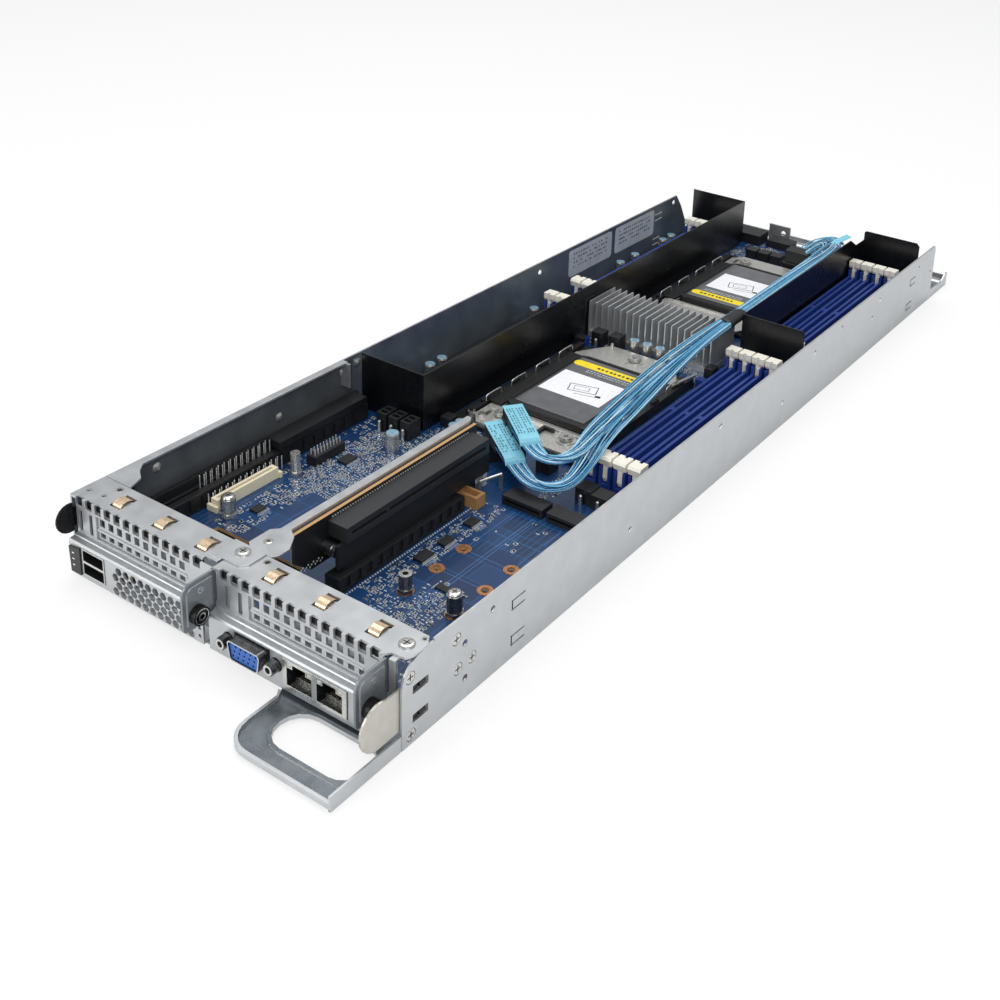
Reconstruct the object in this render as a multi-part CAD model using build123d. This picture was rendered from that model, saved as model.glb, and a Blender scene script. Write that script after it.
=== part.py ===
"""Half-width two-socket server node: sheet-steel tray, board, risers, sockets, baffles and cable loom."""
import math
import os

from build123d import *

os.makedirs("parts", exist_ok=True)

# Driving dimensions in millimetres
WIDTH = 178.0
HEIGHT = 37.0
SHEET = 1.0
RIGHT_LENGTH = 519.0
FLOOR_END = 550.0
HANDLE_REACH = 36.0
MIDDLE = (FLOOR_END - HANDLE_REACH) / 2
HALF = WIDTH / 2
IN = HALF - SHEET

BOARD_LOW = 4.4
BOARD = 6.0
FLANGE_LOW = HEIGHT - SHEET

# Running clearances: radial for the thumbscrews and for the latch pins
TURN = 0.06
PIN_PLAY = 0.1

# Front planes
PANEL = -4.5
PANEL_BACK = PANEL + SHEET


def box(x0, x1, y0, y1, z0, z1):
    """Block between two corners."""
    return Pos((x0 + x1) / 2, (y0 + y1) / 2, (z0 + z1) / 2) * Box(x1 - x0, y1 - y0, z1 - z0)


def bar(r, length, true):
    """Bar along Z about the origin: a cylinder if true, else a prism with few sides."""
    if true:
        return Cylinder(r, length)
    return extrude(RegularPolygon(r, 6 if r < 1.2 else 8 if r < 2.0 else 12), length / 2, both=True)


def rod_x(x0, x1, y, z, r, true=False):
    """Bar along X."""
    return Pos((x0 + x1) / 2, y, z) * Rot(0, 90, 0) * bar(r, x1 - x0, true)


def rod_y(x, y0, y1, z, r, true=False):
    """Bar along Y."""
    return Pos(x, (y0 + y1) / 2, z) * Rot(90, 0, 0) * bar(r, y1 - y0, true)


def rod_z(x, y, z0, z1, r, true=False):
    """Bar along Z."""
    return Pos(x, y, (z0 + z1) / 2) * bar(r, z1 - z0, true)


def outline_face(points):
    """Face inside a closed outline; points that repeat the one before are dropped."""
    kept = []
    for p in points:
        if not kept or math.dist(p, kept[-1]) > 0.01:
            kept.append(p)
    if math.dist(kept[0], kept[-1]) < 0.01:
        kept.pop()
    return make_face(Polyline(*kept, close=True))


def plate_x(x0, x1, outline):
    """Plate in the YZ plane between x0 and x1, from (y, z) points."""
    return extrude(Plane.YZ.offset(x0) * outline_face(outline), x1 - x0)


def plate_y(y0, y1, outline):
    """Plate in the XZ plane between y0 and y1, from (x, z) points."""
    face = Plane(origin=(0, y0, 0), x_dir=(1, 0, 0), z_dir=(0, -1, 0))
    return extrude(face * outline_face(outline), -(y1 - y0))


def plate_z(z0, z1, outline):
    """Plate in the XY plane between z0 and z1, from (x, y) points."""
    return extrude(Plane.XY.offset(z0) * outline_face(outline), z1 - z0)


def arc(cx, cy, r, a0, a1, n=6):
    """Points of a circular arc in degrees."""
    return [(cx + r * math.cos(math.radians(a0 + (a1 - a0) * i / n)),
             cy + r * math.sin(math.radians(a0 + (a1 - a0) * i / n))) for i in range(n + 1)]


def cut(body, tools):
    """Body less a list of tools, in one step."""
    return body - tools if tools else body


def save(name, *solids):
    """Write one node, moved so that the whole sled is centred along Y."""
    moved = [Pos(0, -MIDDLE, 0) * s for s in solids]
    shape = moved[0] if len(moved) == 1 else Compound(children=moved)
    export_step(shape, f"parts/{name}.step")


# Tray: floor, side walls, tail lip
left_wall = plate_x(-HALF, -IN, [(0, 0), (0, FLANGE_LOW), (17.6, FLANGE_LOW), (17.6, HEIGHT), (493, HEIGHT),
                                 (500, 28), (507, 16), (510, 6), (545, 5), (548, 7), (550, 7), (550, 0)])
right_wall = plate_x(IN, HALF, [(0, 0), (0, 24.5)] + arc(11.5, 24.5, 11.5, 180, 90)
                     + [(17.6, FLANGE_LOW), (17.6, HEIGHT), (517, HEIGHT), (519, 35), (519, 6), (541, 5),
                        (547, 8.5), (550, 8.5), (550, 0)])
floor = box(-IN, IN, 0, 549, 0, SHEET)
tail_lip = plate_x(-IN, IN, [(541, 1), (545, 1)] + arc(545, 5, 4, -90, 0, 4)
                   + [(549, 6.5), (550, 6.5), (550, 0), (541, 0)])
wall_lip = plate_z(FLANGE_LOW, HEIGHT, [(-IN, 17.8), (-IN, 160), (-IN + 3, 160), (-IN + 3, 33.7),
                                        (-81.5, 29.2), (-76.5, 25.7), (-73.6, 17.8)])
lip_foot = box(-IN, -IN + 6, 158, 159, 24, HEIGHT)
WALL_HOLES = [(34.9, 24.6), (35.3, 9.0), (51.5, 29.7), (150, 14), (230, 30), (300, 14), (336.7, 28.8),
              (371.9, 31.1), (417.8, 21.2), (427.5, 29.4), (490.9, 30.0), (514, 20)]
LEVER_SCREWS = [(30.1, 29.0), (31.0, 15.6)]
WALL_SCREWS = [(4.5, 28.5), (4.9, 4.0), (39.3, 15.8)] + LEVER_SCREWS
RIGHT_LANCES = [(68, 24.3), (68, 8.1), (482, 23.8), (480, 7.9)]
LEFT_LANCES = [(469, 28.3), (468, 11.0)]
LATCH_SLOTS = [(10.0, 22.4), (10.0, 10.2)]
wall_tools = [rod_x(IN - 1, HALF + 1, y, z, 1.5) for y, z in WALL_HOLES]
wall_tools += [rod_x(IN - 1, HALF + 1, y, z, 2.6) for y, z in WALL_SCREWS]
wall_tools += [box(IN - 1, HALF + 1, y - 4.2, y + 4.2, z - 1.7, z + 1.7) for y, z in LATCH_SLOTS]
for y, z in RIGHT_LANCES:
    wall_tools += [box(IN - 1, HALF + 1, y - 4.5, y + 4.5, z + s - 0.35, z + s + 0.35) for s in (-2, 2)]
for y, z in LEFT_LANCES:
    wall_tools += [box(-HALF - 1, -IN + 1, y - 4.5, y + 4.5, z + s - 0.35, z + s + 0.35) for s in (-2, 2)]
wall_tools += [rod_x(-HALF - 1, -IN + 1, y, z, 1.6) for y, z in [(489, 33.2), (330, 31)]]
tray = cut(floor + left_wall + right_wall + tail_lip + wall_lip + lip_foot, wall_tools)
save("tray_base", tray)

# Lower front panels: each is a face, a return under it and a foot on the floor
def lower_panel(x0, x1, foot_z):
    return plate_x(x0, x1, [(PANEL, 18.2), (PANEL_BACK, 18.2), (PANEL_BACK, 4.8), (3.0, 4.8), (3.0, foot_z),
                            (2.0, foot_z), (2.0, 3.8), (PANEL, 3.8)])


USB_X0, USB_X1 = -77.4, -64.0
VENT_PITCH = 4.4
vent_tools = [box(USB_X0 - 0.2, USB_X1 + 0.2, PANEL - 1, PANEL_BACK + 1, 5.8, 19)]
for row in range(4):
    for col in range(11 - row % 2):
        vx = -57.5 + VENT_PITCH * (col + 0.5 * (row % 2))
        vent_tools.append(Pos(vx, PANEL + 0.5, 5.9 + 3.3 * row) * Rot(90, 0, 0)
                          * extrude(RegularPolygon(1.95, 6), 3, both=True))
vent_tools += [rod_y(-8.6, PANEL - 1, PANEL_BACK + 1, z, 0.9) for z in (6.8, 10.4)]
save("vent_panel", cut(lower_panel(-86.0, -6.6, SHEET), vent_tools))

VGA_X, VGA_Z, VGA_POST = 20.0, 13.0, 12.5
LAN_X0, LAN_X1, LAN_TOP = 36.2, 67.6, 18.1
io_tools = [box(VGA_X - 9.4, VGA_X + 9.4, PANEL - 1, PANEL_BACK + 1, VGA_Z - 4.9, VGA_Z + 4.7),
            box(LAN_X0 - 0.2, LAN_X1 + 0.2, PANEL - 1, PANEL_BACK + 1, 5.8, 19)]
io_tools += [rod_y(VGA_X + s * VGA_POST, PANEL - 1, PANEL_BACK + 1, VGA_Z, 2.9) for s in (-1, 1)]
save("io_panel", cut(lower_panel(-3.2, 80.2, SHEET + 1.2), io_tools))


# Slot frames: castellated fold, window posts and the stepped ledge over the lower panel
def slot_frame(flange, x0, x1, win0, win1, slots, notch0, notches, fingers, holes, extra=()):
    """Front frame of one expansion bay."""
    body = flange
    body += box(x0, x1, 0, SHEET, 32.2, FLANGE_LOW)
    body += box(x0, win0, 0, SHEET, 20.0, 32.2) + box(win1, x1, 0, SHEET, 20.0, 32.2)
    body += plate_x(x0, x1, [(SHEET, 21.4), (0, 21.4), (0, 20.6), (-1.6, 20.4), (-2.0, 19.9), (-4.2, 19.6),
                             (-4.8, 19.0), (-4.8, 18.2), (-3.9, 18.2), (-3.9, 18.6), (SHEET, 19.2)])
    tools = [box(c - 1.95, c + 1.95, -1, 1.7, 33.1, HEIGHT + 1)
             for c in (notch0 + NOTCH_PITCH * i for i in range(notches))]
    tools += [box(c - 1.0, c + 1.0, -1, 2, 22.0, 31.4) for c in slots]
    tools += [box(c - 1.5, c + 1.5, -1, 2, 32.0, 32.7)
              for c in (win0 + 4 + NOTCH_PITCH * i for i in range(int((win1 - win0 - 4) / NOTCH_PITCH)))]
    for c, y in fingers:
        tools += [box(c - 3.2, c + 3.2, y - 4.2, y - 1.9, FLANGE_LOW - 1, HEIGHT + 1),
                  box(c - 3.2, c + 3.2, y + 2.7, y + 5.0, FLANGE_LOW - 1, HEIGHT + 1)]
    tools += [rod_z(c, y, FLANGE_LOW - 1, HEIGHT + 1, r) for c, y, r in holes]
    return cut(body, tools + list(extra))


NOTCH_PITCH = 5.8
LEFT_FINGERS = [(-66.7, 8.4), (-41.9, 8.6), (-17.5, 8.8)]
RIGHT_FINGERS = [(18.2, 9.6), (44.1, 9.6), (69.8, 9.6)]
FLANGE_DEPTH = 17.5
TONGUE_SCREW = (-1.9, 12.8)
CORNER_SCREW = (83.2, 9.3)
RISER_SCREW = (-0.5, 24.6)
left_flange = plate_z(FLANGE_LOW, HEIGHT, [(-HALF, 0), (-12.0, 0), (-12.0, 3.2), (-6.0, 3.2),
                                           (-6.0, FLANGE_DEPTH), (-HALF, FLANGE_DEPTH)])
left_flange += plate_z(HEIGHT, HEIGHT + 0.8, [(-11, 5.5), (3, 5.5), (6, 8.5), (6, FLANGE_DEPTH),
                                              (-11, FLANGE_DEPTH)])
save("left_slot_frame", slot_frame(
    left_flange, -85.6, -5.7, -73.5, -19.0, (-83.0, -76.6), -83.4, 13, LEFT_FINGERS,
    [(-85.0, 6.4, 0.8), (-76.6, 7.2, 0.8), (-75.5, 14.2, 1.2), (*TONGUE_SCREW, 1.7)]))
right_flange = plate_z(FLANGE_LOW, HEIGHT, [(-4.6, 0), (79.5, 0), (82, 2.6), (87.5, 3.2), (HALF, 6.0),
                                            (HALF, 14.0), (86.5, FLANGE_DEPTH), (-4.6, FLANGE_DEPTH)])
corner_face = box(82.6, 85.2, 0.4, 1.4, 20.0, FLANGE_LOW)
corner_face += box(82.6, 85.2, 1.4, 12, FLANGE_LOW - 1, FLANGE_LOW)
save("right_slot_frame", slot_frame(
    right_flange + corner_face, -3.0, 80.4, 14.0, 71.6, (2.8, 9.6), 1.0, 14, RIGHT_FINGERS,
    [(*TONGUE_SCREW, 1.7), (*CORNER_SCREW, 1.7), (9.4, 14.6, 1.2), (86.4, 15.2, 0.8)]))


# Slot covers: pressed plates with two rows of square holes and a rib between them
def slot_cover(x0, x1, first, count):
    body = box(x0, x1, SHEET, 2 * SHEET, 21.5, 33.2) + box(x0 + 2, x1 - 2, 2 * SHEET, 9, 21.5, 22.3)
    body += plate_x(x0 + 1.6, x1 - 1.6, [(SHEET, 25.0), (0.2, 25.5), (0.2, 26.3), (SHEET, 26.8)])
    tools = []
    for i in range(count):
        c = first + 5.25 * i
        tools += [box(c - 1.5, c + 1.5, 0, 3, 27.6, 31.0), box(c - 1.5, c + 1.5, 0, 3, 22.5, 24.6)]
    return cut(body, tools)


save("left_slot_cover", slot_cover(-74.6, -18.0, -70.6, 10))
save("right_slot_cover", slot_cover(13.0, 72.6, 17.2, 11))

# Contact fingers: six sprung strips bowed through the flange slots
finger_path = [(-3.2, -1.4), (-2.9, -0.6), (-2.4, 0.0), (-1.4, 0.75), (0.2, 1.15), (2.0, 0.85), (3.2, 0.2),
               (3.9, -0.6), (4.3, -1.3)]
finger_line = finger_path + [(y + 0.05, z - 0.3) for y, z in reversed(finger_path)]
fingers = [plate_x(c - 2.5, c + 2.5, [(y + fy, HEIGHT + z + 0.32) for y, z in finger_line])
           for c, fy in LEFT_FINGERS + RIGHT_FINGERS]
save("contact_fingers", *fingers)


# Retainer plates with embossed face, and their captive thumbscrews
PLATE_Y, PLATE_Z, SCREW_HOLE = -9.0, 21.6, 1.8


def retainer(x0):
    outline = ([(1.0, 35.6), (-9.5, 35.6)] + arc(-10.2, 30.6, 5.0, 90, 180, 5)
               + [(-15.2, 17.0)] + arc(-13.2, 17.0, 2.0, 180, 270, 3) + [(-9.5, 15.0), (1.0, 16.6)])
    face = ([(-0.5, 33.6), (-9.0, 33.6)] + arc(-10.0, 30.4, 3.2, 90, 180, 4)
            + [(-13.2, 17.8), (-12.4, 17.0), (-9.6, 17.0), (-0.5, 18.4)])
    body = plate_x(x0, x0 + SHEET, outline) + plate_x(x0 + SHEET, x0 + SHEET + 0.5, face)
    body += box(x0, x0 + SHEET, 0.9, 6.0, 21.0, 34.0)
    screw_hole = rod_x(x0 - 1, x0 + 3, PLATE_Y, PLATE_Z, SCREW_HOLE, true=True)
    return cut(body, [rod_x(x0 - 1, x0 + 3, -6.4, 30.6, 0.9), screw_hole])


def thumbscrew(x0):
    """Knurled head outside the plate, shank through it, clip behind it."""
    head = Pos(x0 + 1.6, PLATE_Y, PLATE_Z) * Rot(0, 90, 0) * extrude(RegularPolygon(3.9, 16), 3.0)
    head += rod_x(x0 - 3.0, x0 + 1.7, PLATE_Y, PLATE_Z, SCREW_HOLE - TURN, true=True)
    head += rod_x(x0 - 1.2, x0 - 0.2, PLATE_Y, PLATE_Z, 2.4)
    return head - box(x0 + 3.6, x0 + 5.6, PLATE_Y - 2.8, PLATE_Y + 2.8, PLATE_Z - 0.5, PLATE_Z + 0.5)


LEFT_PLATE, RIGHT_PLATE = -5.7, 80.4
save("left_retainer", retainer(LEFT_PLATE))
save("right_retainer", retainer(RIGHT_PLATE))
save("left_thumbscrew", thumbscrew(LEFT_PLATE))
save("right_thumbscrew", thumbscrew(RIGHT_PLATE))

# Release lever on the right wall and the dark release tab on the left wall
LEVER_X1 = IN - 0.2
LEVER_X0 = LEVER_X1 - SHEET
lever_outline = ([(35, 9.5), (35, 32.5), (25.5, 32.5), (22.0, 25.0), (0.0, 25.6), (-6.0, 25.6)]
                 + arc(-10.5, 17.2, 9.4, 78, 282, 12) + [(-6.0, 8.0)])
lever = plate_x(LEVER_X0, LEVER_X1, lever_outline)
lever += [box(LEVER_X1, HALF - 0.3, y - 0.4, y + 3.0, z - 1.0, z + 1.0) for y, z in LATCH_SLOTS]
save("release_lever", cut(lever, [rod_x(LEVER_X0 - 1, LEVER_X1 + 1, y, z, 1.9) for y, z in LEVER_SCREWS]))

tab_outline = ([(30, 23.0), (30, 31.0), (-0.6, 31.0), (-0.6, 33.6)] + arc(-2.2, 27.2, 6.6, 80, 280, 12)
               + [(-0.6, 20.8), (-0.6, 23.0)])
save("release_tab", plate_x(-87.8, -86.9, tab_outline))

# Pull handle: flat plate with rolled rims and one side flange
outer = ([(33.4, 12.0), (33.4, -2.6), (36.0, -8.0), (36.2, -22.5)] + arc(48.2, -23.8, 12.0, 180, 270, 6)
         + [(HALF, -35.8), (HALF, -0.2), (IN - 0.2, -0.2), (IN - 0.2, 12.0)])
inner = (arc(56.0, -16.8, 9.6, 90, 270, 8) + [(78.0, -26.4)] + arc(79.0, -18.4, 8.0, -90, 0, 4)
         + [(87.0, -13.0)] + arc(81.2, -13.0, 5.8, 0, 90, 3))
rim_in = (arc(56.0, -16.8, 11.4, 90, 270, 8) + [(HALF - 1, -28.2), (HALF - 1, -5.4)])
plate = plate_z(SHEET, SHEET + 1.2, outer)
rim = plate_z(SHEET + 1.2, 3.6, [(33.9, -5.2), (36.0, -8.0), (36.2, -22.5)]
              + arc(48.2, -23.8, 12.0, 180, 270, 6)
              + [(HALF, -35.8), (HALF, -34.4), (48.4, -34.4)] + arc(48.4, -23.6, 10.8, 270, 180, 6)
              + [(37.4, -23.0), (37.2, -8.2), (35.4, -5.2)])
opening = plate_z(0, 6, inner)
eye_rim = plate_z(SHEET + 1.2, 2.9, rim_in)
flange = box(HALF - 1, HALF, -35.8, -0.2, 0.2, 6.6)
save("pull_handle", (plate + eye_rim + rim) - opening + flange)

# Motherboard: one board with a bay cut out of its front edge
RINGS = [(x, y) for x in (34.0, 59.5) for y in (85.7, 103.7)]
POSTS = [(34.0, 65.7, 2.9, 8.6), (59.5, 65.7, 3.3, 9.6), (-64.0, 61.0, 3.5, 9.0), (-66.0, 104.0, 2.4, 11.6)]
BOARD_STANDS = [(-80, 60), (80, 24), (0, 150), (-80, 200), (80, 200), (-40, 340), (80, 342), (-80, 500), (80, 505),
                (0, 500), (0, 350), (-20, 60)]
board = plate_z(BOARD_LOW, BOARD, [(-85.5, 3.5), (-61.0, 3.5), (-61.0, 52.0), (-10.0, 52.0), (-10.0, 22.0),
                                   (-1.0, 22.0), (-1.0, 3.5), (78.0, 3.5), (78.0, 16.0), (85.5, 16.0),
                                   (85.5, 531.0), (-85.5, 531.0)])
save("motherboard", cut(board, [rod_z(x, y, 3, 8, 1.7, true=True) for x, y in RINGS]))
stand = Pos(0, 0, SHEET) * extrude(RegularPolygon(2.6, 6), BOARD_LOW - SHEET)
save("board_standoffs", *[Pos(x, y, 0) * stand for x, y in BOARD_STANDS])

# Display port: body, D shell, insert with fifteen sockets, hex posts
def dee(w, h, lean, r):
    pts = [(-w + lean, -h), (w - lean, -h), (w, h), (-w, h)]
    return fillet(make_face(Polyline(*pts, close=True)).vertices(), r)


DEE_PLANE = Plane(origin=(VGA_X, PANEL_BACK + 0.05, VGA_Z), x_dir=(1, 0, 0), z_dir=(0, -1, 0))
dee_out = extrude(DEE_PLANE * dee(8.6, 4.2, 1.3, 1.6), 5.6)
dee_in = extrude(DEE_PLANE * dee(8.1, 3.7, 1.3, 1.3), 6.8)
vga_body = box(VGA_X - 15.4, VGA_X + 15.4, PANEL_BACK + 0.05, 10.0, BOARD, 18.4)
vga_body = cut(vga_body, [rod_y(VGA_X + s * VGA_POST, PANEL_BACK - 1, 3.0, VGA_Z, 1.5) for s in (-1, 1)])
save("vga_shell", vga_body + (dee_out - dee_in))
insert = extrude(DEE_PLANE * dee(8.0, 3.6, 1.3, 1.2), 4.9)
pins = [Pos(VGA_X + (i - 2) * 2.6 + (j - 1) * 0.7, PANEL_BACK - 6, VGA_Z + (j - 1) * 2.1) * Box(0.8, 5.6, 0.8)
        for j in range(3) for i in range(5)]
save("vga_insert", insert - pins)


def hex_post(x):
    hexa = Plane(origin=(x, PANEL_BACK + 0.05, VGA_Z), x_dir=(1, 0, 0), z_dir=(0, -1, 0))
    body = extrude(hexa * RegularPolygon(2.7, 6), 5.2) + rod_y(x, PANEL_BACK - 0.2, 2.4, VGA_Z, 1.45)
    return body - rod_y(x, -12, -4.4, VGA_Z, 1.2, true=True)


save("vga_posts", hex_post(VGA_X - VGA_POST), hex_post(VGA_X + VGA_POST))

# Network port block: plated shell with two mouths, and the dark insert with its contacts
LAN_PORTS = [(38.4, 50.6), (53.2, 65.4)]
lan = box(LAN_X0, LAN_X1, PANEL - 0.6, 16.0, BOARD, LAN_TOP)
lan_tools = []
for a, b in LAN_PORTS:
    c = (a + b) / 2
    lan_tools += [box(a, b, -10, 12.0, 7.4, 15.0), box(c - 3.2, c + 3.2, -10, 12.0, 15.0, 16.9)]
    lan_tools += [box(a, a + 2.2, -10, 12.0, 15.5, 16.9), box(b - 2.2, b, -10, 12.0, 15.5, 16.9)]
save("lan_jack", lan - lan_tools)
lan_inner = []
for a, b in LAN_PORTS:
    core = box(a, b, 7.0, 12.0, 7.4, 15.0)
    core += [box(a + 2.0 + 1.02 * i, a + 2.4 + 1.02 * i, -1.5, 7.0, 8.0, 8.6) for i in range(8)]
    core += box(a, b, -1.5, 7.0, 7.4, 8.0)
    lan_inner.append(core)
save("lan_insert", *lan_inner)

# Port stack on the left, its tongues and the dark legend strip beside it
usb = box(USB_X0, USB_X1, PANEL - 0.4, 13.0, BOARD, 18.0)
usb_tools, usb_tongues = [], []
for z in (6.6, 12.6):
    usb_tools.append(box(USB_X0 + 0.5, USB_X1 - 0.5, -10, 10.0, z, z + 4.9))
    usb_tongues.append(box(USB_X0 + 1.4, USB_X1 - 1.4, -3.0, 10.0, z + 2.6, z + 4.1))
save("usb_stack", cut(usb, usb_tools) + usb_tongues)
save("legend_strip", plate_y(PANEL - 0.8, PANEL, [(-85.4, 16.6), (-78.4, 17.6), (-78.4, 5.0), (-84.6, 5.0)]))

# Right riser: support strip, upright board, slot, lower board in its ribbed socket
RISER_X = 1.2
CARD_TOP = FLANGE_LOW - 0.6
strip = plate_z(FLANGE_LOW, HEIGHT, [(-3.6, FLANGE_DEPTH + 0.2), (8.0, FLANGE_DEPTH + 0.2), (9.6, 20.0),
                                     (9.6, 26.0), (5.0, 33.0), (0.4, 36.0), (0.4, 150.0), (-1.2, 153.0),
                                     (-3.6, 153.0), (-3.6, 34.0), (-6.4, 31.0), (-6.4, 20.0)])
strip += box(-0.6, 0.4, 36.0, 150.0, 20.0, FLANGE_LOW)
save("riser_bracket", strip - rod_z(*RISER_SCREW, FLANGE_LOW - 6, HEIGHT + 3, 1.7))
card = plate_x(RISER_X, RISER_X + 1.6, [(35, CARD_TOP), (152, CARD_TOP), (152, 22), (146, 15.0), (44, 15.0),
                                        (35, 22)])
lower_card = plate_x(10.4, 12.0, [(50, 26.0), (150, 26.0), (150, 15.0), (122, 15.0), (122, 9.0), (54, 9.0),
                                  (54, 15.0), (50, 15.0)])
spacers = [rod_x(RISER_X + 1.6, 10.4, y, 22.5, 2.0) for y in (60, 140)]
save("riser_card", card + lower_card + spacers)
slot_body = box(RISER_X + 1.6, 13.4, 54.0, 148.0, 26.0, 33.2)
slot_tools = [box(5.5, 14, 57, 78, 28.9, 30.4), box(5.5, 14, 80, 145, 28.9, 30.4)]
save("riser_slot", slot_body - slot_tools)
socket = box(7.2, 15.2, 47.0, 128.0, BOARD, 13.4)
rib_cuts = [box(14.4, 16, 50.0 + 6.5 * i, 53.6 + 6.5 * i, 7.4, 12.4) for i in range(12)]
save("riser_socket", socket - rib_cuts - box(10.3, 12.1, 53.9, 122.1, 8.9, 14))

# Left riser socket and its wall channel
left_socket = box(-86.0, -77.0, 36.0, 166.0, BOARD, 14.0) - box(-82.4, -80.8, 40, 162, 9, 15)
left_socket -= [box(-77.8, -76, 40.0 + 7.0 * i, 44.0 + 7.0 * i, 7.4, 12.8) for i in range(17)]
left_socket += box(-85.4, -83.4, 36.0, 166.0, 14.0, 19.0) + box(-83.4, -76.0, 104.0, 164.0, 15.0, 19.0)
left_socket += box(-83.4, -83.0, 104.0, 164.0, 14.0, 15.0)
save("left_riser_socket", left_socket)

# Pale board header
header = box(-74.2, -70.0, 60.0, 97.0, BOARD, 11.6) - box(-72.8, -71.4, 62.0, 95.0, 8.0, 12)
save("pale_header", header + [box(-75.2, -69.0, y, y + 1.6, BOARD, 9.0) for y in (58.4, 97.0)])

# Module posts, with a tapped hole in each
module_posts = []
for x, y, r, h in POSTS:
    post = rod_z(x, y, BOARD, BOARD + h, r)
    post += Pos(x, y, BOARD + 1.0) * extrude(RegularPolygon(r + 0.7, 6), 1.0, both=True)
    module_posts.append(post - rod_z(x, y, BOARD + 3, BOARD + h + 1, 1.25, true=True))
save("module_posts", *module_posts)

# Power headers, chokes, capacitors, small board connectors
power = box(-3, 3, 0, 8.6, BOARD, 15.6) - [box(-2, 2, y, y + 2.4, 9.0, 16) for y in (1.4, 4.8)]
save("power_headers", *[Pos(-63.0 + 7.6 * i, 160.0, 0) * power for i in range(3)])
CAPS = [(-46.0, 149.0, 3.4, 9.5), (-31.0, 178.0, 3.2, 6.5), (19.4, 52.0, 3.6, 8.0)]
CAPS += [(x, 314.6, 2.9, 9.0) for x in (-10.6, -2.2, 6.2, 14.4)]
CAPS += [(-81.6, y, 2.9, 8.5) for y in (220.0, 230.0, 316.0, 412.0, 430.0, 466.0, 477.0)]
save("capacitors", *[rod_z(x, y, BOARD, BOARD + h, r) for x, y, r, h in CAPS])
brown = box(10.0, 25.0, 131.0, 137.6, BOARD, 13.4) + rod_z(10.0, 134.3, BOARD, 13.4, 3.3)
save("brown_connector", brown - box(10.4, 23.6, 132.6, 136.0, 10, 14))
card_mouth = box(-11.2, 11.2, 143.0, 151.6, BOARD, 10.6) - box(-9.6, 9.6, 142, 147, 7.6, 9.0)
side_slot = box(-85.0, -79.0, 238.0, 306.0, BOARD, 9.6) - box(-82.6, -81.4, 241.0, 303.0, 7.6, 10)
save("card_connectors", *[Pos(x, 0, 0) * card_mouth for x in (36.0, 60.6)], side_slot)
CHOKES = [(24.0, 180.0, 4.0, 6.0), (54.0, 169.6, 4.2, 7.2), (63.2, 168.4, 4.2, 7.2), (72.6, 168.2, 3.8, 6.2),
          (-40.6, 185.6, 3.2, 5.0), (-41.0, 306.0, 2.8, 5.5)]
CHOKES += [(-28.0 + 9.0 * i, 496.0, 3.8, 6.0) for i in range(3)]
save("choke_blocks", *[box(x - s, x + s, y - s, y + s, BOARD, BOARD + h) for x, y, s, h in CHOKES])

# Processor sockets: base, load frame, dust cap and three screws each
CPU_X = -1.0
CPUS = [(248.0, 1), (426.0, -1)]
SCREWS = [(-20.0, -45.0), (20.0, -45.0), (0.0, 51.5)]


def turned(shape, y, way):
    return Pos(CPU_X, y, 0) * (Rot(0, 0, 0) if way > 0 else Rot(0, 0, 180)) * shape


base = box(-37, 37, -58, 54, BOARD, 8.4) + box(-23, 23, 54, 62, BOARD, 8.4)
base += box(-37, -33.6, -52, 52, 8.4, 11.4) + box(33.6, 37, -52, 52, 8.4, 11.4)
base += [box(s * 35.2 - 1.0, s * 35.2 + 1.0, y - 3, y + 3, 11.4, 12.8)
         for s in (-1, 1) for y in (-38, -12, 14, 40)]
base -= box(-26, 26, -35, 35, 7.0, 9)
frame_out = [(-32.5, -50), (-27, -56.5), (27, -56.5), (32.5, -50), (32.5, 42), (21, 61), (-21, 61),
             (-32.5, 42)]
load = plate_z(8.4, 10.0, frame_out) - box(-25.6, 25.6, -35.6, 35.6, 8, 12)
load += box(-32.5, -29.6, -36, 36, 10.0, 11.2) + box(29.6, 32.5, -36, 36, 10.0, 11.2)
load += box(-29.6, 29.6, -40.5, -38.6, 10.0, 10.8) + box(-29.6, 29.6, 38.0, 39.6, 10.0, 10.8)
load -= [rod_z(x, y, 8, 12, 2.4) for x, y in SCREWS]
load -= [box(s * 27.4 - 1.2, s * 27.4 + 1.2, -50, -43, 8, 12) for s in (-1, 1)]
cap = box(-25.2, 25.2, -35.2, 35.2, 8.6, 13.2) - box(-23.6, 23.6, -33.6, 33.6, 7.0, 12.0)
uprights = cap.edges().filter_by(Axis.Z).group_by(Axis.X)
cap = fillet(uprights[0] + uprights[-1], 4.0)
cap += box(-21.4, 21.4, -31.2, 31.2, 13.2, 14.0)
screw = rod_z(0, 0, 8.4, 10.0, 1.9) + rod_z(0, 0, 10.0, 12.6, 3.4)
screw -= extrude(Plane.XY.offset(11.2) * RegularPolygon(1.3, 6), 3)
save("socket_bases", *[turned(base, y, w) for y, w in CPUS])
save("load_frames", *[turned(load, y, w) for y, w in CPUS])
save("socket_caps", *[turned(cap, y, w) for y, w in CPUS])
save("socket_screws", *[turned(Pos(x, sy, 0) * screw, y, w) for y, w in CPUS for x, sy in SCREWS])

# Regulator heat sink: low base with upright fins along Y
SINK_Y0, SINK_Y1 = 319.0, 346.0
sink = box(-45.0, 36.0, SINK_Y0, SINK_Y1, BOARD, 9.4)
sink += [box(x - 0.4, x + 0.4, SINK_Y0, SINK_Y1, 9.4, 28.0) for x in (-44.6 + 4.21 * i for i in range(20))]
save("vrm_heatsink", sink)

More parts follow.
